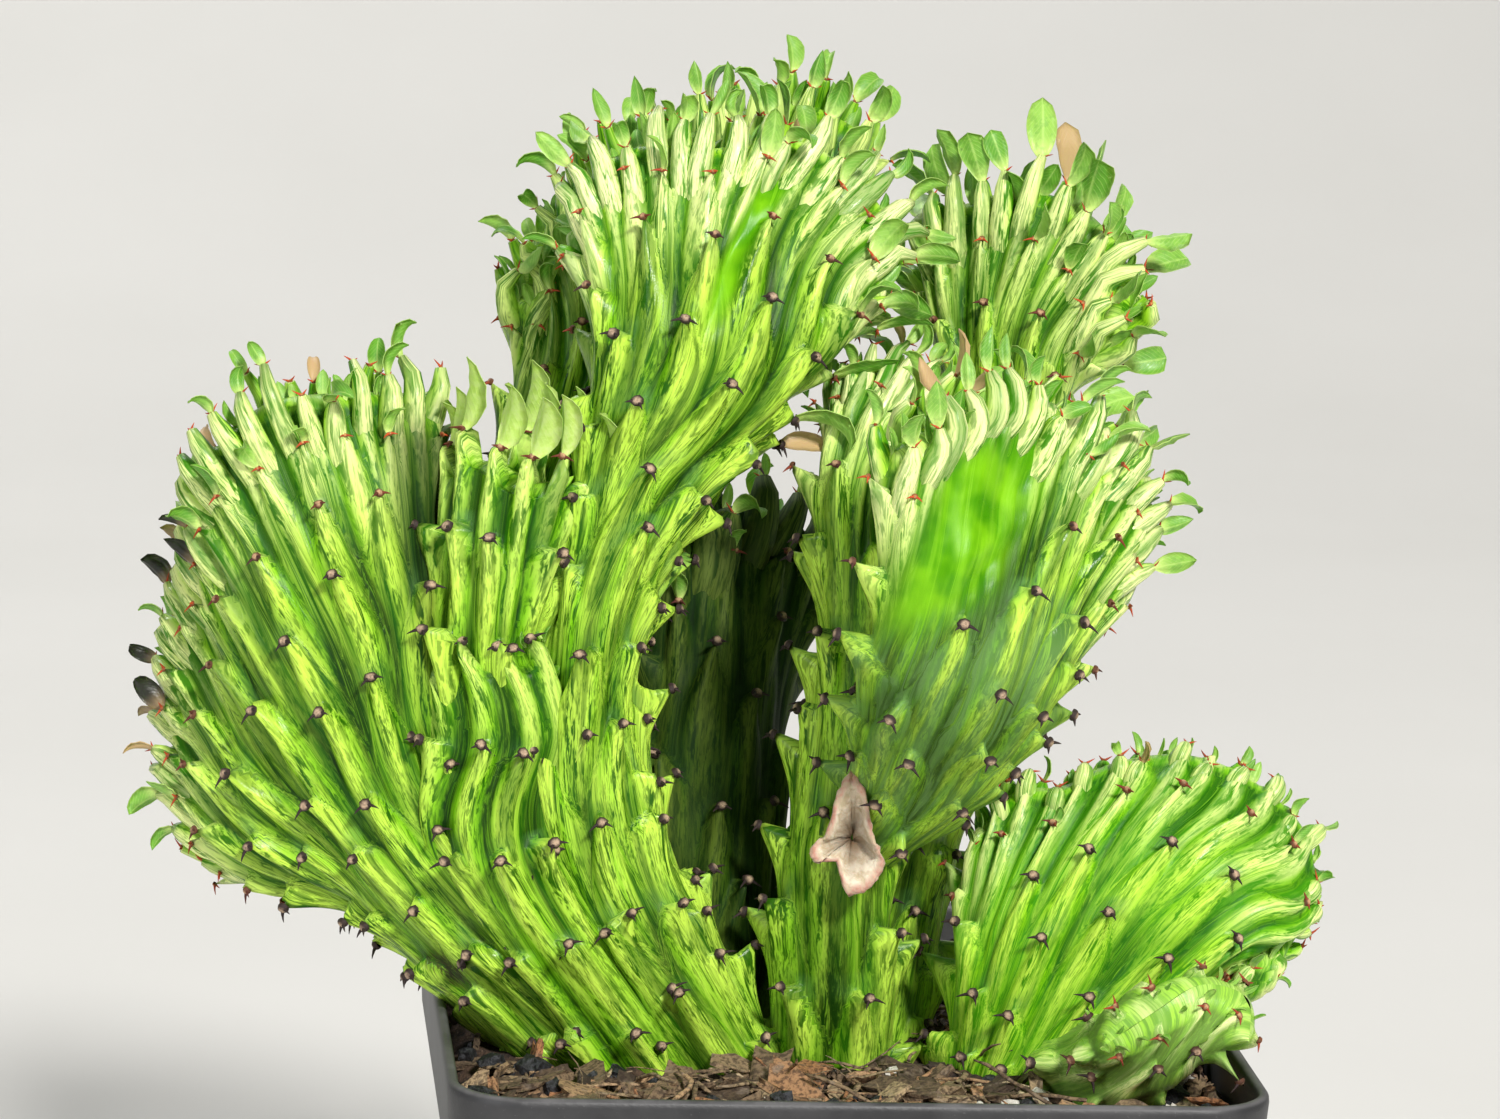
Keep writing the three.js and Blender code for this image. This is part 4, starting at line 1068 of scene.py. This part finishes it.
def husk_piece():
    """A shrivelled scoop: its rim stands up round a darker hollow."""
    t = linspace(0, 1, 7)[:-1, None]
    outline = vstack([a + (b - a) * t for a, b in zip(HUSK_OUTLINE, roll(HUSK_OUTLINE, -1, 0))])
    for _ in range(3):
        outline = 0.5 * outline + 0.25 * (roll(outline, 1, 0) + roll(outline, -1, 0))
    outline = outline + np.random.default_rng(3).normal(0, 0.1, outline.shape)
    centre = array([0.9, -0.8])
    n = len(outline)
    wobble = np.random.default_rng(4)
    points, values = [], []
    for share, depth, hollow, rim in HUSK_RINGS:
        flat = centre + (outline - centre) * share
        y = depth + wobble.normal(0, 0.12, n) + 0.35 * sin(arange(n) / n * 25)
        points.append(stack([flat[:, 0], y, flat[:, 1]], -1))
        values.append([hollow, rim])
    turn = array(Matrix.Rotation(-0.12, 3, "Z"))
    points = (stack(points) - [0, 3.2, 0]) @ turn.T + HUSK_PLACE
    hollow, rim = array(values).T[..., None]
    build = Build()
    build.add(points, [grid_faces(len(HUSK_RINGS), n, True)], husk=[hollow, rim, 0])
    build.finish("dry_husk_scrap", husk_material(), "dry_husk", "husk")


pot_piece()
soil_piece()
near_soil = vstack(near_soil)
stems = kdtree.KDTree(len(near_soil))
for i, p in enumerate(near_soil):
    stems.insert(p, i)
stems.balance()
bark, rng = chip_material(), np.random.default_rng(21)
chips_piece(rng, stems, bark)
fibres_piece(rng, stems, bark)
husk_piece()


# Floor, backdrop, light and camera

def backdrop():
    """A flat floor that bends up into a wall behind the plant."""
    bend, turns = 0.9, linspace(0, pi / 2, 40)
    bent = ((bend * (1 + sin(a)), bend * (1 - cos(a))) for a in turns)
    profile = [(-3.0, 0.0), *bent, (2 * bend, 4.0)]
    mesh = bpy.data.meshes.new("floor")
    faces = [(2 * i, 2 * i + 1, 2 * i + 3, 2 * i + 2) for i in range(len(profile) - 1)]
    mesh.from_pydata([(x, y, z) for y, z in profile for x in (-4.0, 4.0)], [], faces)
    mesh.polygons.foreach_set("use_smooth", np.ones(len(faces), bool))
    mesh.materials.append(paper_material())
    floor = add_object("floor", mesh)


def aim(obj, place, target, tilt=0):
    obj.location = place
    obj.rotation_mode = "QUATERNION"
    obj.rotation_quaternion = (target - place).to_track_quat("-Z", "Y") @ Quaternion((0, 0, 1), tilt)
    return obj


def lamp(name, place, size, power, colour):
    light = bpy.data.lights.new(name, "AREA")
    light.shape = "DISK"
    light.size, light.energy, light.color = size, power, colour
    aim(add_object(name, light), Vector(place), Vector((-0.012, 0.0, 0.14)))


backdrop()
lamp("key", (0.55, -1.7, 1.5), 0.34, 58.0, (1.0, 0.98, 0.95))
lamp("fill", (-1.6, -1.3, 0.9), 0.9, 11.0, (0.95, 0.98, 1.0))
lamp("back", (-0.5, 1.2, 1.6), 0.8, 12.0, (1.0, 1.0, 1.0))
world = bpy.data.worlds.new("studio")
world.use_nodes = True
colour, strength = world.node_tree.nodes["Background"].inputs[:2]
colour.default_value, strength.default_value = (0.94, 0.94, 0.9, 1), 0.15
scene.world = world

AZIMUTH, ELEVATION, ROLL = radians(-6), radians(10.5), radians(2.4)
TARGET, DISTANCE = Vector((-0.0118, 0, 0.1444)), 0.7
IMAGE_PIXELS, FOCAL_PIXELS, SENSOR = 1500, 5560, 36
level = cos(ELEVATION)
back = Vector((sin(AZIMUTH) * level, -cos(AZIMUTH) * level, sin(ELEVATION)))
camera = aim(add_object("camera", bpy.data.cameras.new("camera")), TARGET + back * DISTANCE, TARGET, ROLL)
camera.data.sensor_width = SENSOR
camera.data.lens = FOCAL_PIXELS / IMAGE_PIXELS * SENSOR
camera.data.clip_start, camera.data.clip_end = 0.01, 20
scene.camera = camera
scene.view_settings.view_transform = "Standard"
